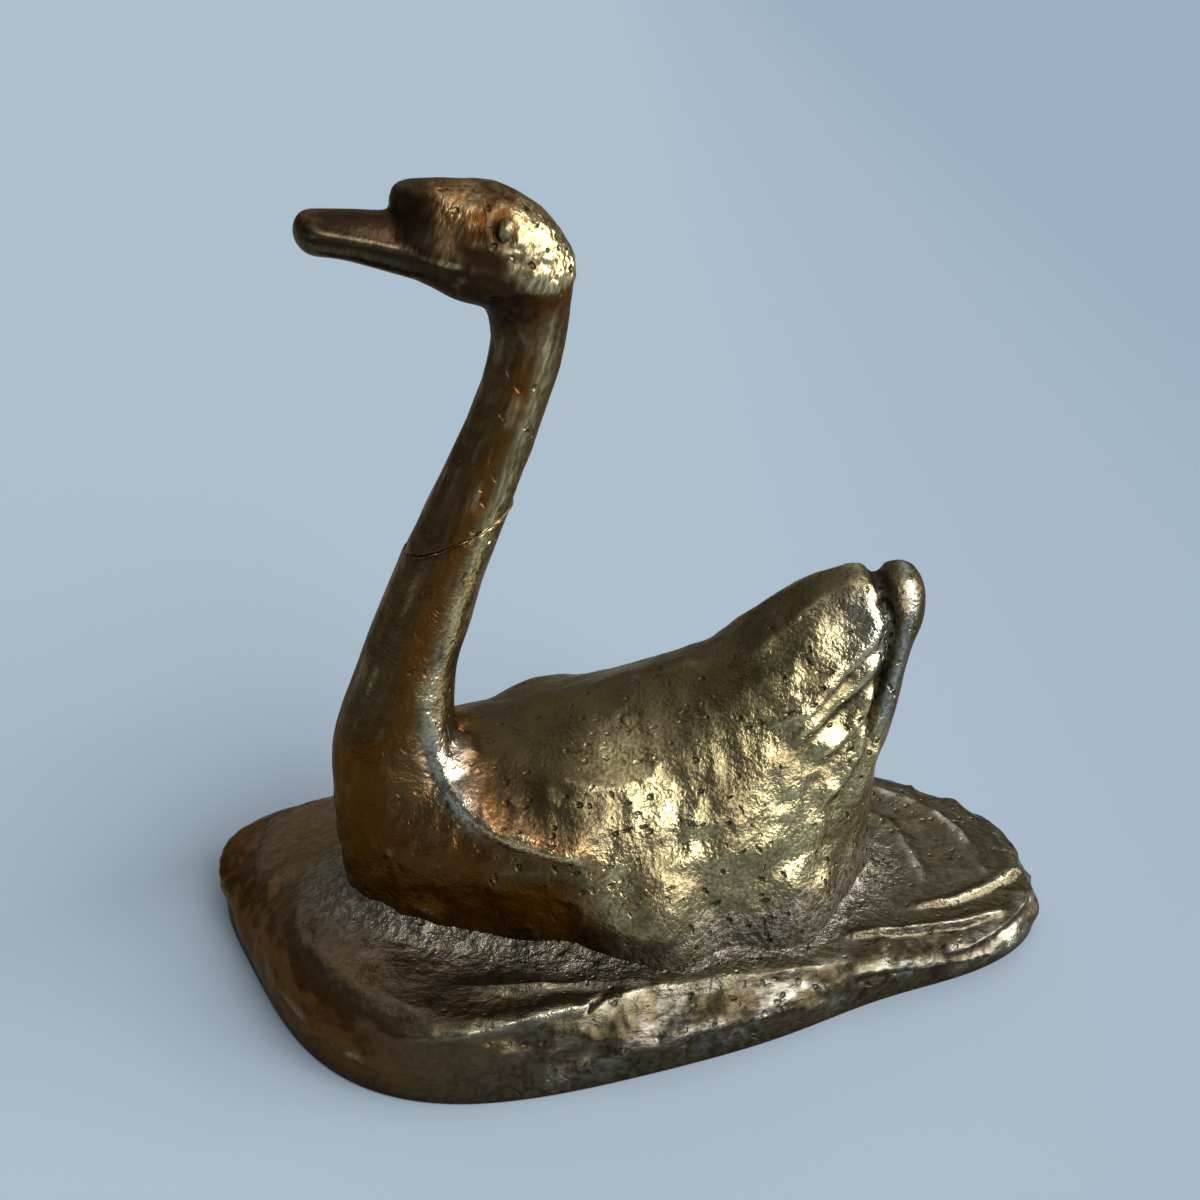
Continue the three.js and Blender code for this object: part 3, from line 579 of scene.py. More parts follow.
def crest_relief(bearing, climb):
    """Sum of the crests, and how near a point is to the edge of one.

    Across each crest the height falls off as a bell, far steeper to the foot; along it, it is
    eased in and out.
    """
    total, edge = np.zeros((2, *climb.shape))
    way = np.radians(bearing)
    for start, span, (low, mid, high), height, width in CRESTS:
        t = ((bearing - start) % 360) / span
        line = low + (4 * mid - 3 * low - high) * t + (2 * low + 2 * high - 4 * mid) * t**2
        line = line + 0.7 * np.sin(9 * way + start) * np.sin(5 * way + 2 * start)
        off = climb - line
        ease = smooth(t, 0, 0.2) * (1 - smooth(t, 0.8, 1)) * (t < 1)
        across = np.where(off > 0, off, 3 * off) / width
        total = total + height * ease * (0.6 * bump(across, 1.5) + 0.4 * np.exp(-np.abs(across)))
        edge = np.maximum(edge, ease * bump(off - 0.4, 1.2) * (height > 0))
    return total, edge


def shore_points(s, count):
    """Points evenly spaced along the shore, from the middle of the frame."""
    fine = np.linspace(0, 2 * np.pi, 4001)
    length = np.hypot(*np.diff(shore(fine, 0, s) - base_middle(s)[:2], axis=0).T)
    length = np.concatenate([[0], np.cumsum(length)])
    angle = np.interp(np.linspace(0, length[-1], count, endpoint=False), length, fine)
    return shore(angle, 0, s) - base_middle(s)[:2]


def water_relief(top, bearing, lip, turn):
    """Relief over the water's skin, the stippled strip along the bird, and the crests' edges.

    Crests, swells, facets and stipple are summed and fade out at the bird and at the foot.
    """
    steps = np.linalg.norm(np.diff(top, axis=0), axis=2)
    climb = np.concatenate([np.cumsum(steps[::-1], 0)[::-1], np.zeros((1, len(bearing)))])
    crests, edge = crest_relief(np.degrees(bearing), climb)
    strip = bump(np.maximum(lip - 4, 0), 8)
    swells = 0.7 * lattice(top / [17, 17, 9]) + 0.35 * lattice(top / [7, 7, 5] + 5)
    facets = 0.14 * lattice(top / [3.4, 3.4, 2] + 11) + 0.7 * (0.4 - np.abs(lattice(top / [8, 8, 5] + 2)))
    facets += 0.35 * (0.4 - np.abs(lattice(top / [4, 4, 3] + 9)))
    stipple = 0.12 * lattice(top / 1.8 + 3) * strip
    ragged = 0.8 * lattice(top / 4 + 17) * bump(lip, 3)
    calm = np.maximum(0.6 * strip, 0.8 * smooth(top[..., 0], 20, 60)) - 0.7 * smooth(turn, 0.1, 0.6)
    relief = crests * (1 - 0.8 * strip) + swells + facets * (1 - calm) + stipple + ragged
    return relief * smooth(climb, 0.4, 4) * (0.5 + 0.5 * smooth(lip, 0, 3)), strip, edge


def water_top(s, rows=WATER_ROWS, count=WATER_COUNT):
    """The water's skin from the bird to the foot of the wall, with what its patina goes by.

    Along each bearing the first rows run out level; the rest turn a quarter over the edge, with
    radius = level end + rest * sin^p and height = level * cos^q. A bank stands at the bird.
    """
    out = shore_points(s, count)
    bearing = np.arctan2(out[:, 1], out[:, 0])
    way = np.stack([np.cos(bearing), np.sin(bearing)], -1)
    reach = np.hypot(*out.T)
    bird = polar(waterline(s, WATERLINE), bearing)

    w = np.linspace(0, 1, rows)[:, None]
    round_over = 9 + 11 * smooth(out[:, 0], 45, 92) * smooth(-out[:, 1], -34, 8)
    level_end = np.maximum(reach - round_over, bird + 2)
    level_run = level_end - bird + UNDER_BIRD
    turn = np.clip((w - LEVEL_SHARE) / (1 - LEVEL_SHARE), 0, 1) * np.pi / 2
    radius = bird - UNDER_BIRD + level_run * np.minimum(w / LEVEL_SHARE, 1)
    radius = radius + (reach + FOOT_SPREAD - level_end) * np.sin(turn) ** 0.85
    lip = radius - bird
    x, y = (radius[..., None] * way).transpose(2, 0, 1)
    steep = smooth(out[:, 1], 5, 30) * (1 - smooth(out[:, 0], 25, 60))
    wall = np.cos(turn) ** (0.6 - 0.28 * steep)
    bank = BANK_HEIGHT * np.exp(-np.maximum(lip, 0) / BANK_REACH)
    z = FOOT_LEVEL + (water_level(x, y, s) - FOOT_LEVEL) * wall + bank
    top = np.stack([x, y, z], -1)

    relief, strip, edge = water_relief(top, bearing, lip, turn)
    n = np.cross(np.gradient(top, axis=0), np.roll(top, -1, 1) - np.roll(top, 1, 1))
    n /= np.linalg.norm(n, axis=2, keepdims=True)
    return SimpleNamespace(
        points=top + n * relief[..., None],
        way=way,
        foot=reach + FOOT_SPREAD,
        bird=bird,
        turn=turn,
        strip=strip,
        edge=edge,
    )


def water_rings(top, s):
    """Rings of the whole casting, and how many come before the top's.

    They run from the middle of the seat under the bird, over the top and back in under the roof.
    """

    def ring(distance, height):
        return np.column_stack([distance[:, None] * top.way, np.full(len(distance), height)])

    floor, roof = s.seat_height - SEAT_GAP, s.ceiling
    seat = [ring((top.bird - 1.4) * k, floor) for k in (0.02, 0.3, 0.6, 0.9, 0.98)]
    seat += [ring(top.bird - 1.2, floor + 1)]
    # How far in from the foot and how high: a flat rim, then the wall's inside up to the roof
    rim = ((0.1, 0.4), (0.5, 0), (2.5, 0), (4.6, 0), (5.2, 1), (6.2, roof - 1.5), (8, roof), (24, roof))
    under = [ring(top.foot - inset, height) for inset, height in rim] + [ring(0.3 * top.foot, roof)]
    return np.concatenate([np.array(seat), top.points, np.array(under)]), len(seat)


def water_zones(p, quads, top, first):
    """Zones of the water's patina: olive, umber at the bow, grey round the bird, sooty at the foot.

    Crests are rubbed silvery in broken lines, partly painted highlight along their edges, and painted
    silvery glints lie on the near wall between sooty blotches.
    """
    above = np.zeros(len(p), bool)
    above[first : first + top.strip.size] = True

    def spread(field, elsewhere):
        full = np.full(len(p), float(elsewhere))
        full[above] = np.broadcast_to(field, top.strip.shape).ravel()
        return full

    strip = spread(top.strip, 0)
    wall = spread(smooth(top.turn, 0.2, 1), 1)
    grey = strip * (1 - wall)
    proud = exposure(p, quads) * above
    foot = np.where(above, 1 - smooth(p[:, 2], 1.5, 6), 1)
    fore = smooth(p[:, 0], 20, 75)
    broken = smooth(lattice(p / 4 + 8), -0.35, 0.45)
    # crest: rubbed crests, and painted highlight in broken lines along their edges
    crest = np.maximum(0.5 * smooth(proud, 0.35, 1), spread(top.edge, 0) * broken) * (1 - 0.8 * strip)
    speckle = 0.6 * lattice(p / 2.2 + 14)
    blotch = smooth(lattice(p / [7, 7, 4] + 6) + speckle, -0.5, 0.4) * wall
    # glints: painted highlight, silvery patches on the wall aft
    glints = smooth(lattice(p / [8, 8, 2.5] + 21) + speckle, 0, 0.6) * wall * (1 - foot)
    soot = np.maximum(0.75 * foot, (1 - fore) * (0.4 * wall + 0.5 * blotch))
    return {
        "umber": 0.5,
        "olive": (1 - fore * (0.5 + 0.5 * wall)) * above,
        "plum": np.maximum(0.5 * foot, 0.1 * fore * (1 - wall)),
        "grey": np.maximum(0.9 * grey, (0.35 - 0.1 * fore) * above * (1 - 0.6 * wall)),
        "rubbed": 0.5 * crest * (1 - 0.8 * fore),
        "silver": 0.9 * crest * (1 - 0.8 * fore) + 0.8 * glints * (1 - smooth(p[:, 0], -10, 40)),
        "sunk": np.maximum(smooth(-proud, 0.05, 0.5) * 0.7, soot),
        "marked": 0.7 * (1 - 0.7 * fore),
        "sleek": (0.4 + 0.4 * fore) * (1 - grey),
    }


# Meshes


def new_piece(name, points, faces, replaced=()):
    """Puts points in millimetres and faces into a mesh object that rides with the sculpture."""
    mesh = bpy.data.meshes.new(name)
    mesh.from_pydata((points * MM).tolist(), [], faces if isinstance(faces, list) else faces.tolist())
    if mesh.validate():
        raise RuntimeError(f"{name} has bad faces")
    mesh.shade_smooth()
    piece = bpy.data.objects.new(name, mesh)
    bpy.context.scene.collection.objects.link(piece)
    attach(piece, "root")
    if replaced:
        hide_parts(*replaced)
    return piece


def points_of(mesh):
    """A mesh's points in millimetres."""
    co = np.empty(len(mesh.vertices) * 3)
    mesh.vertices.foreach_get("co", co)
    return co.reshape(-1, 3) / MM


def melted(shells, grain):
    """(points, quads) of the outside of overlapping closed shells, made one skin of even quads."""
    points, faces, first = [], [], 0
    for p, polygons in shells:
        points.append(p)
        faces += [[first + k for k in polygon] for polygon in polygons]
        first += len(p)
    mesh = bpy.data.meshes.new("wax")
    mesh.from_pydata((np.concatenate(points) * MM).tolist(), [], faces)
    wax = bpy.data.objects.new("wax", mesh)
    bpy.context.scene.collection.objects.link(wax)
    skin = wax.modifiers.new("Skin", "REMESH")
    skin.mode = "VOXEL"
    skin.voxel_size = grain * MM
    made = wax.evaluated_get(bpy.context.evaluated_depsgraph_get()).to_mesh()
    p = points_of(made)
    quads = np.empty(len(made.loops), int)
    made.loops.foreach_get("vertex_index", quads)
    bpy.data.objects.remove(wax)
    bpy.data.meshes.remove(mesh)
    return p, quads.reshape(-1, 4)


def normals(p, quads):
    """Unit normals at the points: the sum of the crossed diagonals of the quads around each."""
    across = np.cross(p[quads[:, 2]] - p[quads[:, 0]], p[quads[:, 3]] - p[quads[:, 1]])
    n = np.stack([np.bincount(quads.ravel(), np.repeat(across[:, k], 4), len(p)) for k in range(3)], 1)
    return n / np.maximum(np.linalg.norm(n, axis=1, keepdims=True), 1e-12)


def sag(p, quads):
    """The way from each point to the mean of its neighbours."""
    a, b = quads.ravel(), np.roll(quads, -1, 1).ravel()
    n = np.bincount(a, minlength=len(p))
    mean = np.stack([np.bincount(a, p[b, k], len(p)) for k in range(3)], 1) / n[:, None]
    return mean - p


def modelled(p, quads, fillet, rounds):
    """Softens a skin as wax is: hollow creases fill where fillet is 1, and grain is smoothed away."""
    for _ in range(rounds):
        n = normals(p, quads)
        rise = np.maximum((sag(p, quads) * n).sum(1), 0) * fillet
        p = p + 0.9 * rise[:, None] * n
    for factor in (0.5, -0.52) * 4:
        p = p + factor * sag(p, quads)
    return p


def exposure(p, quads, rounds=10):
    """How proud each point stands of the skin around it, in millimetres, spread over rounds steps."""
    q = p
    for _ in range(rounds):
        q = q + 0.7 * sag(q, quads)
    return ((p - q) * normals(p, quads)).sum(1)


def ridge(p, line, width):
    """A rounded edge along a line of (x, z) points: 1 on it, easing out over width above it, three
    times as fast below it, and at both of its ends.
    """
    line = np.asarray(line, float)
    off, share = np.full((2, len(p)), 1e3)
    for i, (start, end) in enumerate(zip(line, line[1:])):
        run = end - start
        t = np.clip(((p[:, ::2] - start) @ run) / (run @ run), 0, 1)
        gap = p[:, ::2] - start - t[:, None] * run
        far = np.hypot(*gap.T)
        near = far < np.abs(off)
        off = np.where(near, far * np.sign(run[0] * gap[:, 1] - run[1] * gap[:, 0]), off)
        share = np.where(near, (i + t) / (len(line) - 1), share)
    ends = smooth(share, 0, 0.15) * (1 - smooth(share, 0.75, 1))
    return bump(np.where(off > 0, off, 3 * off), width) * ends


def blend(first, second, share):
    """Zones of one part of a piece carried over to another's where share is 1."""
    return {key: (1 - share) * first.get(key, 0.0) + share * second.get(key, 0.0) for key in ZONES}


def paint(piece, zones):
    """Stores a number from 0 to 1 per point for each zone, 0 where none is given."""
    count = len(piece.data.vertices)
    for name in ZONES:
        value = np.broadcast_to(zones.get(name, 0.0), count)
        layer = piece.data.attributes.new(name, "FLOAT", "POINT")
        layer.data.foreach_set("value", np.clip(value, 0, 1).astype(np.float32))


# The castings' relief and patina

CHASING_TURN = -0.36  # turn in radians that lays the chasing along the neck
CHASING_WAY = (0.37, 0.93)  # the neck's direction along x (backwards) and z, for the chased streaks
# Heights and depths of the relief over the wax
STREAK_HEIGHT = 0.18
LIP_HEIGHT = 1.8
FEATHER_HEIGHT = 1.7
CLEFT_DEPTH = 3
FLANK_SWELL = 5.5
GROOVE_DEPTH = 0.35
SOCKET_DEPTH = 1.1


def neck_strokes(p):
    """Chasing down the neck: value noise 1.5 mm across, drawn out six times along it."""
    x, y, z = p.T
    back, up = CHASING_WAY
    return lattice(np.stack([x * up + z * back, y, (z * up - x * back) / 6], 1) / 1.5)


def neck_zones(p, n):
    """Zones of the neck's patina, the same above and below the seam.

    Olive with an umber band down the middle of each side, a painted highlight in a strip towards the nape,
    rubbed bright and silvery on the lower neck, soot in the grooves of the chasing, and painted shade down
    the back and under the head.
    """
    strokes = neck_strokes(p)
    # nape: painted highlight, a strip where the skin turns to face backwards
    nape = bump(n[:, 0] + 0.42, 0.17)
    # back and top: painted shade on skin that faces straight back and on the neck under the head; grooves:
    # soot in the chasing
    grooves, back, top = smooth(-strokes, 0.3, 0.9), smooth(-n[:, 0], 0.8, 1), smooth(p[:, 2], 138, 152)
    return {
        "umber": 0.4,
        "olive": 0.6 * (1 - 0.8 * bump(n[:, 0] - 0.15, 0.35)),
        # painted highlight along the nape, over strokes worn bright
        "rubbed": 1.4 * nape * smooth(strokes, -1, 0.1) + 0.3 * smooth(strokes, 0.2, 0.8),
        "silver": 0.8 * nape * (1 - smooth(p[:, 2], 78, 100)),
        # soot in the grooves, painted shade down the back and under the head
        "sunk": 0.45 * grooves + 0.3 * back + 0.6 * top,
        "marked": 0.3,
    }


def ahead_of_cleft(p):
    """How far each point lies ahead of the cleft before the tail."""
    return p[:, 0] - np.interp(p[:, 2], *np.array(CLEFT).T)


def bird_form(s):
    """(points, quads) of the bird in wax: wings melted into the body and filled, then tail and neck.

    The edges of the wing tips, the cleft and the tail's top are kept from filling.
    """
    wings = [shell(wing_surface(side)) for side in (1, -1)]
    p, quads = melted([shell(body_surface(s)), *wings], TRUNK_GRAIN)
    trunk = modelled(p, quads, 1, TRUNK_ROUNDS), quads.tolist()
    (x, y, z), radii = SADDLE
    saddle = [shell(ball_surface((x, side * y, z), radii)) for side in (1, -1)]
    neck = neck_surface(0, seam_line(s) - SEAM_GAP)
    p, quads = melted([trunk, shell(tail_surface()), shell(neck), *saddle], BIRD_GRAIN)
    p[:, 2] = np.maximum(p[:, 2], s.seat_height)
    kept = bump(ahead_of_cleft(p), 4) * smooth(p[:, 2], 58, 70) + spot(p[:, 0], p[:, 2], TAIL_TOP)
    return modelled(p, quads, 1 - np.minimum(kept, 1), BIRD_ROUNDS), quads


def bird_parts(p):
    """What the bird's relief and patina go by: how much of each of its parts a point is in."""
    x, y, z = p.T
    side = np.abs(y)
    neck = smooth(z, 62, 76) * smooth(x, 20, 34)
    return SimpleNamespace(
        x=x,
        z=z,
        side=side,
        neck=neck,
        flank=(1 - neck) * smooth(side, 6, 16),
        wet=1 - smooth(z + 3 * lattice(p / 7 + 13), 22, 36),
        lip=ridge(p, WING_ROOT, 4) * smooth(side, 5, 9),
        feathers=np.max([ridge(p, line, 4) for line in FEATHERS], 0) * smooth(side, 2, 5),
        ahead=ahead_of_cleft(p),
    )


def bird_relief(p, part, s):
    """Height of the bird's skin over the wax.

    The root of the wing overlaps the breast in a rounded lip, long feathers run down the wing from
    its tip, a cleft parts them from the tail, and the flank swells twice with a furrow between.
    Lumps, facets, chasing and stipple are value noise, and a groove runs round each plug.
    """
    x, z = part.x, part.z
    cleft = (1.6 * smooth(z, 85, 92) - CLEFT_DEPTH) * bump(part.ahead + 1, 1.5) * smooth(z, 52, 64)
    cleft = cleft * np.maximum(smooth(part.side, 1, 4), smooth(z, 82, 90))
    lumps = 0.5 * lattice(p / 11) + 0.25 * lattice(p / 5.5 + 7)
    facets = 0.65 * (0.4 - np.abs(lattice(p / 6.5 + 4))) * part.flank
    chased = 0.12 * lattice(p / [3, 3, 2.4] + 3) * part.flank
    streaks = STREAK_HEIGHT * neck_strokes(p) * smooth(x, 22, 36)
    stipple = 0.12 * lattice(p / 1.8 + 1) * part.wet
    swell = FLANK_SWELL * bump(z - 21, 15) * (bump(x + 3, 13) + bump(x + 36, 13)) * part.flank
    groove, calm = np.zeros(len(p)), np.ones(len(p))
    for hand in (1, -1):
        place, facing = plug_place(hand)
        off = np.linalg.norm(np.cross(p - place, facing), axis=1)
        near = p[:, 1] * hand > 0
        groove += GROOVE_DEPTH * bump(off - PLUG_GROOVE, 0.6) * near
        calm = calm * (1 - bump(off, 4) * near)
    above = smooth(z, s.seat_height + 0.5, s.seat_height + 4) * calm
    rise = (lumps * (1 - 0.5 * part.neck) + facets + chased + streaks + stipple + swell) * above
    return rise + LIP_HEIGHT * part.lip + FEATHER_HEIGHT * part.feathers + cleft - groove


def bird_zones(p, n, quads, part):
    """Zones of the bird's patina below the neck.

    Olive over the back, painted darker as shade where it faces up, and umber over the breast; the flank
    and the wing are rubbed by hands, in patches laid where the highlights fall, so partly painted
    highlight, with painted shade in the furrow and between the patches. Painted highlights lie silvery on
    the wing tip, the collar and the tail's rim, painted shade on the tail's face behind the cleft, and the
    lip of the wing blushes copper. The wet edge along the water is grey and stippled, with painted shade
    along it where the body turns under; soot lies in hollows, and the breast darkens towards its foot.
    """
    x, z, side, flank, wet = part.x, part.z, part.side, part.flank, part.wet
    proud = exposure(p, quads) * (1 - part.neck)
    patches = smooth(lattice(p / 9 + 2), -0.4, 0.5)
    # hand: rubbed by hands, in patches laid where the highlights fall on the flank and below on the rear
    # quarter: partly wear, partly painted highlight
    hand = bump(z - 43, 21) * (1 - smooth(x, 4, 22)) * flank * (0.4 + 0.6 * patches)
    hand *= 1 - 0.5 * spot(x, z, FURROW_SHADE)
    low = np.maximum(smooth(side, 5, 9), 1 - smooth(z, 48, 62))
    hand = np.maximum(hand, 0.75 * (1 - smooth(x, -32, -18)) * low * patches)
    # aft: painted shade, the tail's face behind the cleft kept plum and unrubbed; rim: painted highlight,
    # silvery along the tail's rim
    aft = smooth(-part.ahead, 0.5, 2.5) * smooth(z, 56, 66)
    rim = bump(part.ahead + 4 + 3.5 * smooth(z, 82, 90), 1.1) * aft
    tip = spot(x, z, WING_TIP_HIGHLIGHT) * (1 - aft)
    breast = smooth(x + 8 * lattice(p / 8 + 23), -14, 22) * (1 - smooth(z, 36, 48))
    breast = np.maximum(smooth(x, 26, 42), breast)
    glow = spot(x, z, SHOULDER_GLOW) * flank
    foot = (1 - smooth(z + 5 * lattice(p / 5 + 19), 22, 32)) * breast
    # painted highlight: silvery along the crease between the neck and the shoulder
    collar_highlight = ridge(p, WING_ROOT, 7) * smooth(side, 3, 7) * smooth(x, 34, 41)
    worn = (smooth(proud, 0.08, 0.4) + 0.3 * part.feathers) * (1 - 0.7 * breast) + hand * (1 - wet)
    # painted shade along the waterline, astern and at the breast, where the body turns under
    waterline_shade = wet * (0.3 * breast + 0.5 * smooth(-x, 0, 30))
    blush = part.lip * (1 - smooth(x, 36, 43)) * (0.5 + 0.5 * patches)
    return {
        "umber": 0.6,
        "olive": 1 - breast * (1 - 0.8 * spot(x, z, SHOULDER_OLIVE) * flank),
        # painted shade: darker on skin that faces up, and on the tail's face behind the cleft
        "plum": 0.1 * smooth(n[:, 2], 0.5, 0.95) * (1 - breast) + 0.5 * aft,
        "copper": 1.2 * blush + 0.15 * glow,
        "grey": 0.9 * wet * (1 - breast),
        # rubbed: wear on ridges and feathers, and the flank's patches, which are partly painted highlight
        "rubbed": worn * (1 - 0.9 * aft) + 0.2 * part.lip,
        # painted highlights on the wing tip, the collar and the tail's rim, and a little between the
        # flank's patches
        "silver": 0.9 * tip + collar_highlight + rim + 0.1 * hand * (1 - patches),
        # sunk: soot in hollows, darker towards the breast's foot, painted shade along the waterline and
        # between the flank's patches
        "sunk": smooth(-proud, 0.08, 0.45) + waterline_shade + 0.8 * foot + 0.4 * hand * (1 - patches),
        "marked": (1 - 0.8 * breast) * (1 - 0.6 * smooth(n[:, 2], 0.5, 0.9)),
    }


def head_form(s):
    """(points, quads) of the head in wax: neck, skull and bill melted and filled.

    The step from the brow down to the bill is kept from filling.
    """
    neck = neck_surface(seam_line(s) + SEAM_GAP, 1)
    p, quads = melted([shell(neck), shell(skull_surface()), shell(bill_surface())], HEAD_GRAIN)
    return modelled(p, quads, 1 - 0.9 * spot(p[:, 0], p[:, 2], BILL_STEP), HEAD_ROUNDS), quads


def head_parts(p):
    """What the head's relief and patina go by: how much of each of its parts a point is in."""
    x, y, z = p.T
    side = np.abs(y)
    round_cheek = ((x - 15) / 9.5) ** 2 + ((z - 167.5) / 9.5) ** 2
    return SimpleNamespace(
        x=x,
        z=z,
        side=side,
        neck=1 - smooth(z, 148, 156),
        bill=smooth(x - 0.1 * (z - 168), 34.5, 37.5),
        cheek=(1 - smooth(round_cheek, 0.7, 1.2)) * (1 - 0.5 * bump(side, 2.5)),
        from_eye=np.hypot((x - EYE[0]) / 0.8, z - EYE[2]) + 10 * (side < 4),
        strokes=neck_strokes(p),
    )


def head_relief(p, part):
    """Height of the head's skin over the wax.

    Sockets round the eyes, the slit of the mouth under a rolled lip, chasing down the neck, hatching
    on the cheek, and lumps of value noise.
    """
    x, z = part.x, part.z
    socket = 0.1 * bump(part.from_eye - 3.8, 0.9) - SOCKET_DEPTH * bump(part.from_eye, 2.5)
    over = z - np.interp(x, *np.array(MOUTH).T)
    slit = smooth(x, 30, 36) * (1 - smooth(x, 58.5, 60.5)) * smooth(part.side, 2, 3.5)
    mouth = (0.35 * bump(over - 1.4, 0.8) - 0.12 * bump(over, 0.4)) * slit
    streaks = STREAK_HEIGHT * part.strokes * part.neck
    hatch = 0.3 * (np.abs(lattice(p / [1.2, 1.2, 1.6])) - 0.4) * part.cheek * (1 - smooth(z, 168, 172))
    lumps = 0.16 * lattice(p / 5) + 0.06 * lattice(p / 2 + 3) * (1 - 0.7 * part.bill)
    return socket + mouth + streaks + hatch + lumps * (1 - 0.7 * part.bill)


def head_zones(p, quads, part):
    """Zones of the head's patina above the neck.

    The bill, the jaw and the brow are plum, the cheek is rubbed bright in a patch that is partly painted
    highlight, the lores blush copper, soot lies in hollows, and painted shade lies over the eye's socket,
    under the jaw and on the throat.
    """
    x, z, bill, cheek = part.x, part.z, part.bill, part.cheek
    proud = exposure(p, quads, 14) * (1 - part.neck)
    lores = ridge(p, LORES, 3.5) * (1 - 0.6 * bill)
    # painted shade on the throat under the jaw
    throat_shade = bump(z - 154, 5) * (1 - cheek)
    # lid: painted shade over the front and top of the eye's socket
    lid = bump(np.hypot(x - EYE[0] - 1.2, z - EYE[2] - 0.6), 2.8) * (part.side > 4)
    high = smooth(proud, 0.03, 0.16) * (1 - 0.9 * bill)
    jaw = smooth(x, 17, 23) * (1 - smooth(z, 167, 173))
    brow = smooth(z, 171, 176) * smooth(x, 18, 26)
    # the cheek's rubbed patch is partly painted highlight
    worn = high * (1 - bump(part.from_eye, 5.5)) + 0.65 * cheek * (1 - bump(part.from_eye, 2.6))
    # painted shade: throat, socket and the underside of the jaw
    sooty = 0.75 * throat_shade + 0.8 * lid + 0.4 * jaw * (1 - bill)
    return {
        "umber": 0.6,
        "plum": np.maximum(bill, 0.7 * np.maximum(jaw, brow)),
        "copper": 0.8 * lores * smooth(part.strokes, -0.6, 0.3),
        "rubbed": worn * (1 - lid) * (1 - throat_shade) + 0.3 * lores,
        "sunk": smooth(-proud, 0.03, 0.2) * (1 - 0.5 * bill) + sooty,
        "marked": np.maximum(0.6 * (1 - bill), cheek),
        "sleek": 0.55 * bill,
    }


# Materials

# Zones of a casting's patina, stored as numbers at its points
# rubbed and silver also hold painted highlights, and sunk painted shade
ZONES = ("umber", "olive", "plum", "grey", "copper", "rubbed", "silver", "sunk", "marked", "sleek")
# Clouds of noise in the bronze: name, spacing in mm, detail, and the levels carried to 0 and 1.
# The sand's own grain, about 0.2 mm, is too fine to show and is drawn at 0.5 mm.
CLOUDS = (
    ("clouds", 15.0, 4.0, 0.27, 0.75),
    ("swells", 6.0, 1.0, 0.3, 0.7),
    ("gloss", 4.0, 2.0, 0.3, 0.7),
    ("flecks", 1.6, 3.0, 0.4, 0.6),
    ("grain", 0.5, 2.0, 0.0, 1.0),
)
CLOUD_ROUGHNESS = 0.6
# Chased strokes: spacing in mm and the levels of the noise carried to 0 and 1
STROKES = (0.9, 0.38, 0.64)
# Tool marks: turn from the chasing in radians, length over width, spacing and half width in mm,
# and the chance that a place has none
MARKS = (
    (0.0, 1.0, 4.0, 0.85, 0.4),
    (0.8, 2.5, 3.2, 0.6, 0.34),
    (-0.9, 2.5, 3.4, 0.55, 0.36),
    (0.2, 5.0, 2.2, 0.25, 0.4),
)
MARK_BEND, MARK_BEND_SPACING = 1.8, 3.0  # how far a noise bends the marks, and its spacing, in mm
# Layers of colour from below: zone, pattern, how much shows at the pattern's 0 and 1, colour
LAYERS = (
    ("umber", "clouds", 0.0, 1.0, "umber_dark"),
    ("olive", "clouds", 1.0, 1.0, "olive"),
    ("olive", "clouds", 0.0, 1.0, "olive_dark"),
    ("plum", "clouds", 1.0, 0.85, "plum"),
    ("grey", "flecks", 0.3, 1.0, "pewter"),
    ("copper", "strokes", 0.2, 1.0, "copper"),
    ("rubbed", "strokes", 0.35, 1.0, "gold"),
    ("silver", "strokes", 0.35, 1.0, "silver"),
    ("sunk", "flecks", 1.0, 0.6, "soot"),
    ("marked", "marks", 0.0, 0.75, "soot"),
)
# Relief from below: pattern, whether it is sunk, strength, height in mm, strength where it is sleek
RELIEF = (
    ("grain", False, 0.08, 0.2, 0.03),
    ("swells", False, 0.3, 1.2, 0.1),
    ("strokes", False, 0.36, 0.22, 0.04),
    ("marks", True, 1.0, 0.65, 0.05),
)
STIPPLE_HEIGHT = 0.25  # in mm
# The patina drinks in light at a glancing angle, where bare metal would turn white
PATINA_EDGE = (0.72, 0.62, 0.52, 1.0)
# Roughness of patina and of bare metal, and what clouds of gloss and soot add to it
DULL_PATINA, DULL_BARE, DULL_GLOSS, DULL_SOOT = 0.34, 0.12, 0.12, 0.15
SLEEK_SHARE = 0.5  # how far a sleek patina goes towards bare metal's roughness
METALLIC, METALLIC_SOOT = 0.97, 0.75


def add(tree, kind, values, out=0):
    """Adds a node and gives one of its outputs; values holds its properties, sockets and links."""
    made = tree.nodes.new(kind)
    for key, value in values.items():
        if isinstance(value, bpy.types.NodeSocket):
            tree.links.new(value, made.inputs[key])
        elif isinstance(key, str) and hasattr(made, key):
            setattr(made, key, value)
        else:
            made.inputs[key].default_value = value
    return made.outputs[out] if made.outputs else None


def new_material(name):
    """An empty material, its node tree and its coordinates in millimetres."""
    material = bpy.data.materials.new(name)
    material.use_nodes = True
    tree = material.node_tree
    tree.nodes.clear()
    place = add(tree, "ShaderNodeTexCoord", {}, "Object")
    return material, tree, add(tree, "ShaderNodeMapping", {"Vector": place, "Scale": (1 / MM,) * 3})


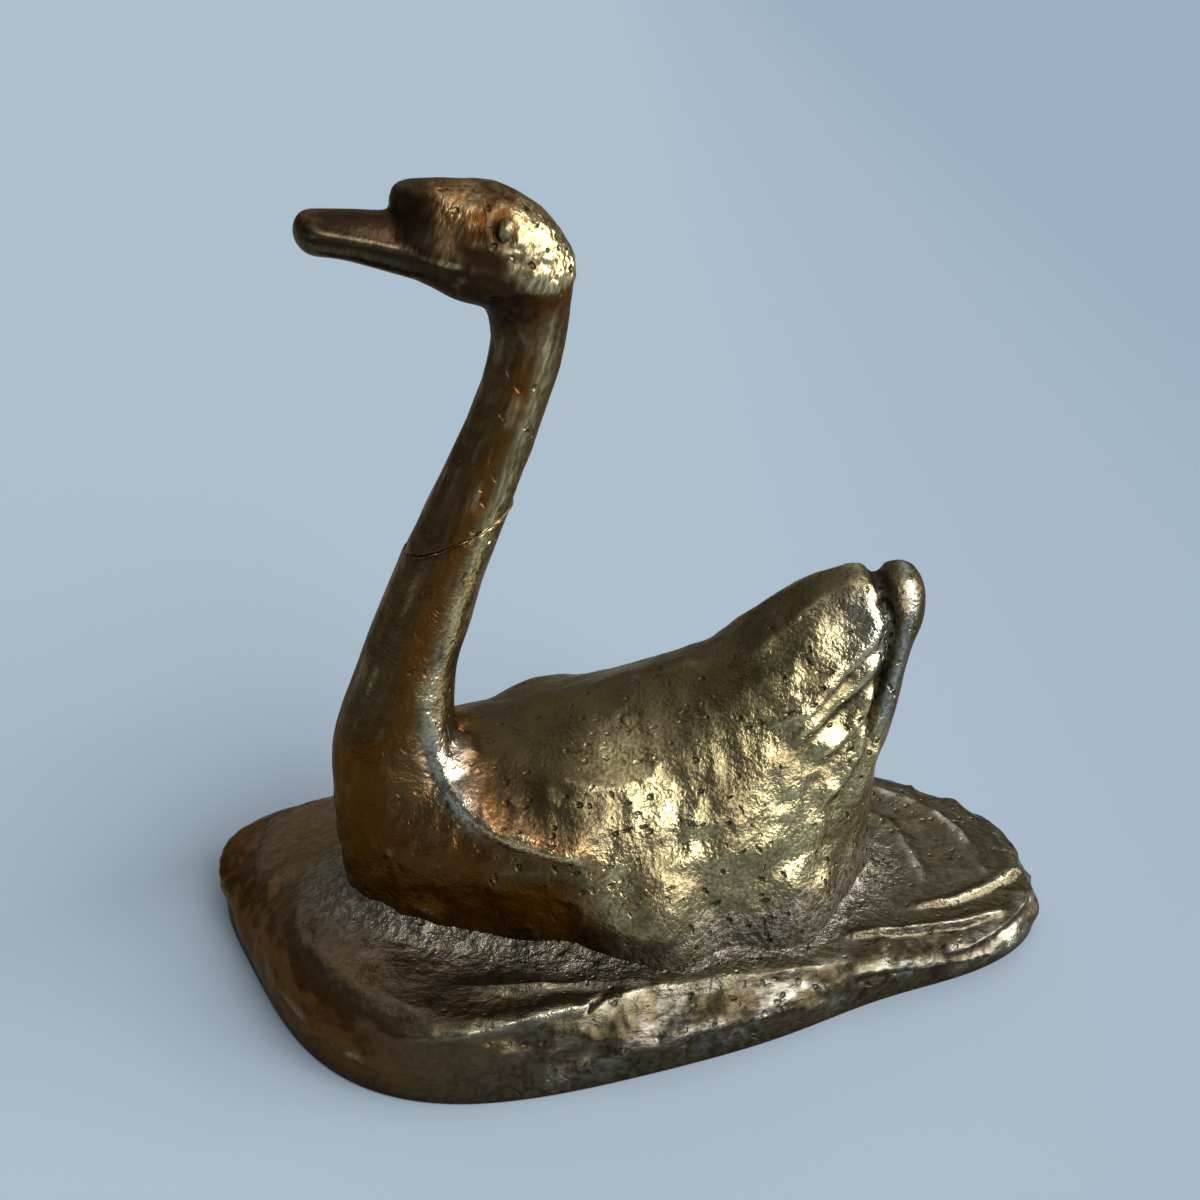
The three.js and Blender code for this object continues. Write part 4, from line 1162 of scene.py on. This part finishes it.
def bronze_patterns(t, mm, turn, draw):
    """Patterns in cast bronze, each from 0 to 1: clouds, chased strokes and tool marks."""
    pattern = {}
    for key, spacing, detail, low, high in CLOUDS:
        fog = {"Vector": mm, "Scale": 1 / spacing, "Detail": detail, "Roughness": CLOUD_ROUGHNESS}
        fog = add(t, "ShaderNodeTexNoise", fog)
        pattern[key] = add(t, "ShaderNodeMapRange", {"Value": fog, "From Min": low, "From Max": high})
    spacing, low, high = STROKES
    chased = {"vector_type": "TEXTURE", "Vector": mm, "Rotation": (0, turn, 0), "Scale": (1, 1, draw)}
    chased = add(t, "ShaderNodeMapping", chased)
    fog = add(t, "ShaderNodeTexNoise", {"Vector": chased, "Scale": 1 / spacing, "Detail": 2.0})
    pattern["strokes"] = add(t, "ShaderNodeMapRange", {"Value": fog, "From Min": low, "From Max": high})

    # Marks are cells of a Voronoi pattern, bent by a noise so that none is quite straight.
    bend = add(t, "ShaderNodeTexNoise", {"Vector": mm, "Scale": 1 / MARK_BEND_SPACING}, "Color")
    bent = {"operation": "MULTIPLY_ADD", 0: bend, 1: (MARK_BEND,) * 3, 2: mm}
    bent = add(t, "ShaderNodeVectorMath", bent)
    marks = 0.0
    for angle, length, spacing, width, none in MARKS:
        lie = {"Vector": bent, "Rotation": (0, turn + angle, 0), "Scale": (1, 1, length)}
        lie = add(t, "ShaderNodeMapping", {"vector_type": "TEXTURE", **lie})
        cell = add(t, "ShaderNodeTexVoronoi", {"Vector": lie, "Scale": 1 / spacing})
        edge = width / spacing
        mark = {"Value": cell, "From Min": 0.5 * edge, "From Max": edge, "To Min": 1.0, "To Max": 0.0}
        mark = add(t, "ShaderNodeMapRange", mark)
        some = {"Value": cell.node.outputs["Color"], "From Min": none, "From Max": none + 0.02}
        some = add(t, "ShaderNodeMapRange", some)
        mark = add(t, "ShaderNodeMath", {"operation": "MULTIPLY", 0: mark, 1: some})
        marks = add(t, "ShaderNodeMath", {"operation": "MAXIMUM", 0: mark, 1: marks})
    pattern["marks"] = marks
    return pattern


def cast_bronze(name, turn, draw):
    """Sand-cast bronze, chased, patinated and handled.

    Thin brown and olive patina lies over yellow metal, so it stays metallic; hollows keep more of it and
    look sooty, and ridges are rubbed back to pale gold. The same soot also paints shade, and the same
    gold and silvery metal paint highlights, where a casting's zones put them. The chasing runs along the
    local Z that turn gives, drawn out by draw, and gouges and casting pits lie across it.
    """
    c = bpy.context.scene.swan_colours
    material, t, mm = new_material(name)
    zone = {key: add(t, "ShaderNodeAttribute", {"attribute_name": key}, "Fac") for key in ZONES}
    pattern = bronze_patterns(t, mm, turn, draw)
    marks = {"operation": "MULTIPLY", 0: pattern["marks"], 1: zone["marked"]}
    pattern["marks"] = add(t, "ShaderNodeMath", marks)

    tint = tuple(c.umber)
    for key, over, least, most, pigment in LAYERS:
        share = add(t, "ShaderNodeMapRange", {"Value": pattern[over], "To Min": least, "To Max": most})
        share = {"operation": "MULTIPLY", "use_clamp": True, 0: share, 1: zone[key]}
        share = add(t, "ShaderNodeMath", share)
        layer = {"data_type": "RGBA", 0: share, 6: tint, 7: tuple(getattr(c, pigment))}
        tint = add(t, "ShaderNodeMix", layer, 2)

    below = {}
    for key, sunk, strength, height, sleek in RELIEF:
        amount = {"Value": zone["sleek"], "To Min": strength, "To Max": sleek}
        amount = add(t, "ShaderNodeMapRange", amount)
        relief = {"invert": sunk, "Height": pattern[key], "Strength": amount, "Distance": height * MM}
        below = {"Normal": add(t, "ShaderNodeBump", relief | below)}
    stipple = {"Height": pattern["flecks"], "Strength": zone["grey"], "Distance": STIPPLE_HEIGHT * MM}
    skin = add(t, "ShaderNodeBump", stipple | below)

    # Patina is dull, bare metal bright and the sleek bill between the two.
    bare = add(t, "ShaderNodeMath", {"operation": "MAXIMUM", 0: zone["rubbed"], 1: zone["silver"]})
    bare = {"operation": "MULTIPLY_ADD", 0: zone["sleek"], 1: SLEEK_SHARE, 2: bare}
    bare = add(t, "ShaderNodeMath", bare)
    dull = add(t, "ShaderNodeMapRange", {"Value": bare, "To Min": DULL_PATINA, "To Max": DULL_BARE})
    for source, amount in ((pattern["gloss"], DULL_GLOSS), (zone["sunk"], DULL_SOOT)):
        dull = add(t, "ShaderNodeMath", {"operation": "MULTIPLY_ADD", 0: source, 1: amount, 2: dull})
    metal = {"Value": zone["sunk"], "To Min": METALLIC, "To Max": METALLIC_SOOT}
    metal = add(t, "ShaderNodeMapRange", metal)
    look = {"Base Color": tint, "Metallic": metal, "Roughness": dull, "Normal": skin}
    look = add(t, "ShaderNodeBsdfPrincipled", look | {"Specular Tint": PATINA_EDGE})
    add(t, "ShaderNodeOutputMaterial", {"Surface": look})
    return material


def patinate(piece, name, worn):
    """Gives a small bronze piece its cast skin, rubbed to one degree but less in spots of noise, which keep
    more patina.
    """
    spots = smooth(lattice(points_of(piece.data) / 1.4), -0.5, 0.6)
    zones = {
        "olive": 0.9,
        "copper": 0.1 * spots,
        "rubbed": worn * np.maximum(spots, worn - 0.2),
        "sunk": 0.5 * (1 - spots),
        "marked": 0.3,
    }
    paint(piece, zones)
    piece.data.materials.append(cast_bronze(name, 0, 1.5))


def turned_metal(name, tint):
    """Turned rod or plate, as bolts and dowels are made: bright, with fine rings and dull worn spots.

    The rings lie 0.12 mm apart and the worn spots 1.3 mm.
    """
    material, t, mm = new_material(name)
    worn = add(t, "ShaderNodeTexNoise", {"Vector": mm, "Scale": 1 / 1.3, "Detail": 4.0})
    worn = add(t, "ShaderNodeMapRange", {"Value": worn, "From Min": 0.4, "From Max": 0.62})
    rings = {"vector_type": "TEXTURE", "Vector": mm, "Scale": (3, 3, 0.12)}
    rings = add(t, "ShaderNodeMapping", rings)
    rings = add(t, "ShaderNodeTexNoise", {"Vector": rings, "Scale": 1.0, "Detail": 2.0})
    skin = add(t, "ShaderNodeBump", {"Height": rings, "Strength": 0.25, "Distance": 0.1 * MM})
    shade = tuple(k * v for k, v in zip((0.55, 0.53, 0.5, 1), tint))
    tint = add(t, "ShaderNodeMix", {"data_type": "RGBA", 0: worn, 6: tuple(tint), 7: shade}, 2)
    dull = add(t, "ShaderNodeMapRange", {"Value": worn, "To Min": 0.22, "To Max": 0.48})
    look = {"Base Color": tint, "Metallic": 1.0, "Roughness": dull, "Normal": skin}
    add(t, "ShaderNodeOutputMaterial", {"Surface": add(t, "ShaderNodeBsdfPrincipled", look)})
    return material


def rolled_paper(name):
    """Matt studio paper: a pale colour with a faint fibre, and painted shade that deepens it far off to one
    side.

    Real fibres are finer than the 0.8 mm that they are drawn at.
    """
    c = bpy.context.scene.swan_colours
    material, t, mm = new_material(name)
    # painted shade: darker towards the far right
    off = {"operation": "DOT_PRODUCT", 0: mm, 1: (-1.0, 0.12, 0)}
    off = add(t, "ShaderNodeVectorMath", off, "Value")
    off = add(t, "ShaderNodeMapRange", {"Value": off, "From Min": 40.0, "From Max": 330.0})
    tint = {"data_type": "RGBA", 0: off, 6: tuple(c.floor), 7: tuple(c.floor_far_shade)}
    tint = add(t, "ShaderNodeMix", tint, 2)
    fibre = add(t, "ShaderNodeTexNoise", {"Vector": mm, "Scale": 1 / 0.8, "Detail": 3.0})
    skin = add(t, "ShaderNodeBump", {"Height": fibre, "Strength": 0.05, "Distance": 0.1 * MM})
    look = {"Base Color": tint, "Roughness": 0.9, "Specular IOR Level": 0.1, "Normal": skin}
    add(t, "ShaderNodeOutputMaterial", {"Surface": add(t, "ShaderNodeBsdfPrincipled", look)})
    return material


# Operators


class SWAN_OT_water(bpy.types.Operator):
    """Casts the water: over the top from the bird to the shore, down the wall and under the roof"""

    bl_idname = "swan.water"
    bl_label = "Water base"

    def execute(self, context):
        s = sizes_in_mm(context.scene)
        top = water_top(s)
        rings, seat_rows = water_rings(top, s)
        # The rings run outwards from the seat, so the faces are turned round to point out.
        p, quads, lids = capped(rings)
        quads, lids = quads[:, ::-1], [lid[::-1] for lid in lids]
        piece = new_piece("cast_water", p, quads.tolist() + lids, ["water_base"])
        paint(piece, water_zones(p, quads, top, (1 + seat_rows) * WATER_COUNT))
        piece.data.materials.append(cast_bronze("Sand-cast bronze, water", math.pi / 2, 2.5))
        return {"FINISHED"}


class SWAN_OT_body(bpy.types.Operator):
    """Casts the bird up to the joint in its neck"""

    bl_idname = "swan.body"
    bl_label = "Swan body"

    def execute(self, context):
        s = sizes_in_mm(context.scene)
        wax, quads = bird_form(s)
        n = normals(wax, quads)
        part = bird_parts(wax)
        p = wax + n * bird_relief(wax, part, s)[:, None]
        piece = new_piece("cast_bird", turned(p, s), quads, ["swan_body"])
        paint(piece, blend(bird_zones(p, n, quads, part), neck_zones(p, n), part.neck))
        piece.data.materials.append(cast_bronze("Sand-cast bronze, bird", CHASING_TURN, 1))
        return {"FINISHED"}


class SWAN_OT_head(bpy.types.Operator):
    """Casts the upper neck, the skull and the bill"""

    bl_idname = "swan.head"
    bl_label = "Neck and head"

    def execute(self, context):
        s = sizes_in_mm(context.scene)
        wax, quads = head_form(s)
        n = normals(wax, quads)
        part = head_parts(wax)
        p = wax + n * head_relief(wax, part)[:, None]
        piece = new_piece("cast_head", turned(p, s), quads, ["neck_and_head"])
        paint(piece, blend(head_zones(p, quads, part), neck_zones(p, n), part.neck))
        piece.data.materials.append(cast_bronze("Sand-cast bronze, head", CHASING_TURN, 3.5))
        return {"FINISHED"}


def skin_level(place, facing):
    """How far the bird's skin lies from a place along the way it faces: the mean over 1.6 mm round it."""
    off = points_of(bpy.data.objects["cast_bird"].data) - place
    level = off @ facing
    near = (np.linalg.norm(np.cross(off, facing), axis=1) < 1.6) & (np.abs(level) < 6)
    if not near.any():
        raise RuntimeError("the bird has no skin where a plug goes")
    return level[near].mean()


def eye_bead(side):
    """(points, faces) of an eye: an egg with a slightly uneven skin, leaning back in its socket."""
    p, quads, lids = capped(ball_surface((0, 0, 0), EYE_RADII, 40, 56))
    p = p + 0.1 * lattice(p / 1.1)[:, None] * p / 2
    c, d = np.cos(EYE_TILT), np.sin(EYE_TILT)
    lean = np.array([[c, 0, d], [0, 1, 0], [-d, 0, c]])
    # The egg's faces point in until it is mirrored, so only the left one's are turned round.
    return (p @ lean.T + EYE) * [1, side, 1], [face[::-side] for face in quads.tolist() + lids]


class SWAN_OT_braze(bpy.types.Operator):
    """Runs the bead of braze along the seam of the neck"""

    bl_idname = "swan.braze"
    bl_label = "Braze"

    def execute(self, context):
        s = sizes_in_mm(context.scene)
        bead = bead_surface(s)
        faces = hoop_faces(*bead.shape[:2])
        piece = new_piece("braze_bead", turned(bead.reshape(-1, 3), s), faces, ["neck_braze_ring"])
        patinate(piece, "Run brass braze", 0.55)
        return {"FINISHED"}


class SWAN_OT_eyes(bpy.types.Operator):
    """Sets the eye beads in their sockets"""

    bl_idname = "swan.eyes"
    bl_label = "Eyes"

    def execute(self, context):
        s = sizes_in_mm(context.scene)
        for name, side in SIDES:
            p, faces = eye_bead(side)
            piece = new_piece(f"{name}_eye_bead", turned(p, s), faces, [f"{name}_eye"])
            patinate(piece, "Polished eye bronze, " + name, 0.9)
        return {"FINISHED"}


class SWAN_OT_plugs(bpy.types.Operator):
    """Sets the core plugs flush with the bird's skin"""

    bl_idname = "swan.plugs"
    bl_label = "Core plugs"

    def execute(self, context):
        s = sizes_in_mm(context.scene)
        for name, side in SIDES:
            place, facing = plug_place(side)
            place = turned(place[None], s)[0]
            place = place + (skin_level(place, facing) - PLUG_SUNK) * facing
            p, faces = lathe(PLUG_PROFILE, place, facing)
            piece = new_piece(f"{name}_plug", p, faces, [f"{name}_core_plug"])
            patinate(piece, "Filed bronze plug, " + name, 0.2)
        return {"FINISHED"}


class SWAN_OT_fixings(bpy.types.Operator):
    """Gives the bolts, the washers and the dowel their metals"""

    bl_idname = "swan.fixings"
    bl_label = "Fixings"

    def execute(self, context):
        c = context.scene.swan_colours
        steel = turned_metal("Plated steel", c.steel)
        for name in ("front_fixing_bolt", "rear_fixing_bolt", "front_washer", "rear_washer"):
            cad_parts[name].material_slots[0].material = steel
        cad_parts["neck_dowel"].material_slots[0].material = turned_metal("Drawn bronze rod", c.gold)
        return {"FINISHED"}


# Name, direction from the sculpture, apparent width in degrees and strength of each far lamp
LAMPS = (
    ("window", (-0.55, 0.66, 0.48), 48, 3.0),
    ("low window", (-1, 0.2, 0.16), 44, 3.6),
    ("back wall", (0, -0.6, 0.8), 80, 0.6),
    ("ceiling", (-0.2, 0.25, 0.95), 60, 0.55),
)
AIR_COLOUR, AIR_STRENGTH = "#e6eaee", 0.18
FLOOR_HALF = 6.0  # in metres
# The camera as fitted to the picture: place and aim in metres, lens and sensor in mm, and the
# picture's middle off the aim in pixels of a frame 1200 wide
CAMERA_PLACE = (0.0469, 0.2659, 0.235)
CAMERA_AIM = (0.003, -0.0012, 0.0784)
LENS, SENSOR = 43.5, 36
SHIFT_PIXELS, FRAME_PIXELS = (-25, 50), 1200


class SWAN_OT_stage(bpy.types.Operator):
    """Lays the floor and sets the lamps and the camera"""

    bl_idname = "swan.stage"
    bl_label = "Studio"

    def execute(self, context):
        scene = context.scene
        scene.view_settings.view_transform = "Standard"
        mesh = bpy.data.meshes.new("floor")
        corners = [(x * FLOOR_HALF, y * FLOOR_HALF, 0) for x, y in ((-1, -1), (1, -1), (1, 1), (-1, 1))]
        mesh.from_pydata(corners, [], [(0, 1, 2, 3)])
        floor = bpy.data.objects.new("floor", mesh)
        scene.collection.objects.link(floor)
        floor.data.materials.append(rolled_paper("Rolled paper"))

        world = bpy.data.worlds.new("Studio air")
        scene.world = world
        world.use_nodes = True
        air = world.node_tree.nodes["Background"]
        air.inputs["Color"].default_value = hex_colour(AIR_COLOUR)
        air.inputs["Strength"].default_value = AIR_STRENGTH
        for name, way, width, strength in LAMPS:
            data = bpy.data.lights.new(name, "SUN")
            data.angle = math.radians(width)
            data.energy = strength
            lamp = bpy.data.objects.new(name, data)
            lamp.rotation_euler = Vector(way).to_track_quat("Z", "Y").to_euler()
            scene.collection.objects.link(lamp)

        view = bpy.data.cameras.new("camera")
        view.lens = LENS
        view.sensor_width = SENSOR
        view.shift_x, view.shift_y = (pixels / FRAME_PIXELS for pixels in SHIFT_PIXELS)
        view.clip_start = 0.01
        camera = bpy.data.objects.new("camera", view)
        camera.location = CAMERA_PLACE
        aim = Vector(CAMERA_AIM) - camera.location
        camera.rotation_euler = aim.to_track_quat("-Z", "Y").to_euler()
        scene.collection.objects.link(camera)
        scene.camera = camera
        return {"FINISHED"}


class SWAN_PT_panel(bpy.types.Panel):
    """Sidebar panel with a button for each piece or group"""

    bl_idname = "SWAN_PT_panel"
    bl_label = "Bronze swan"
    bl_space_type = "VIEW_3D"
    bl_region_type = "UI"
    bl_category = "Swan"

    def draw(self, context):
        for operator in OPERATORS:
            self.layout.operator(operator.bl_idname)


OPERATORS = (
    SWAN_OT_stage,
    SWAN_OT_water,
    SWAN_OT_body,
    SWAN_OT_head,
    SWAN_OT_braze,
    SWAN_OT_eyes,
    SWAN_OT_plugs,
    SWAN_OT_fixings,
)
CLASSES = (SwanSizes, SwanColours, *OPERATORS, SWAN_PT_panel)


def register():
    for cls in CLASSES:
        bpy.utils.register_class(cls)
    bpy.types.Scene.swan_sizes = PointerProperty(type=SwanSizes)
    bpy.types.Scene.swan_colours = PointerProperty(type=SwanColours)


def unregister():
    del bpy.types.Scene.swan_colours
    del bpy.types.Scene.swan_sizes
    for cls in reversed(CLASSES):
        bpy.utils.unregister_class(cls)


def main():
    register()
    bpy.ops.swan.stage()
    bpy.ops.swan.water()
    bpy.ops.swan.body()
    bpy.ops.swan.head()
    bpy.ops.swan.braze()
    bpy.ops.swan.eyes()
    bpy.ops.swan.plugs()
    bpy.ops.swan.fixings()


if __name__ == "__main__":
    main()
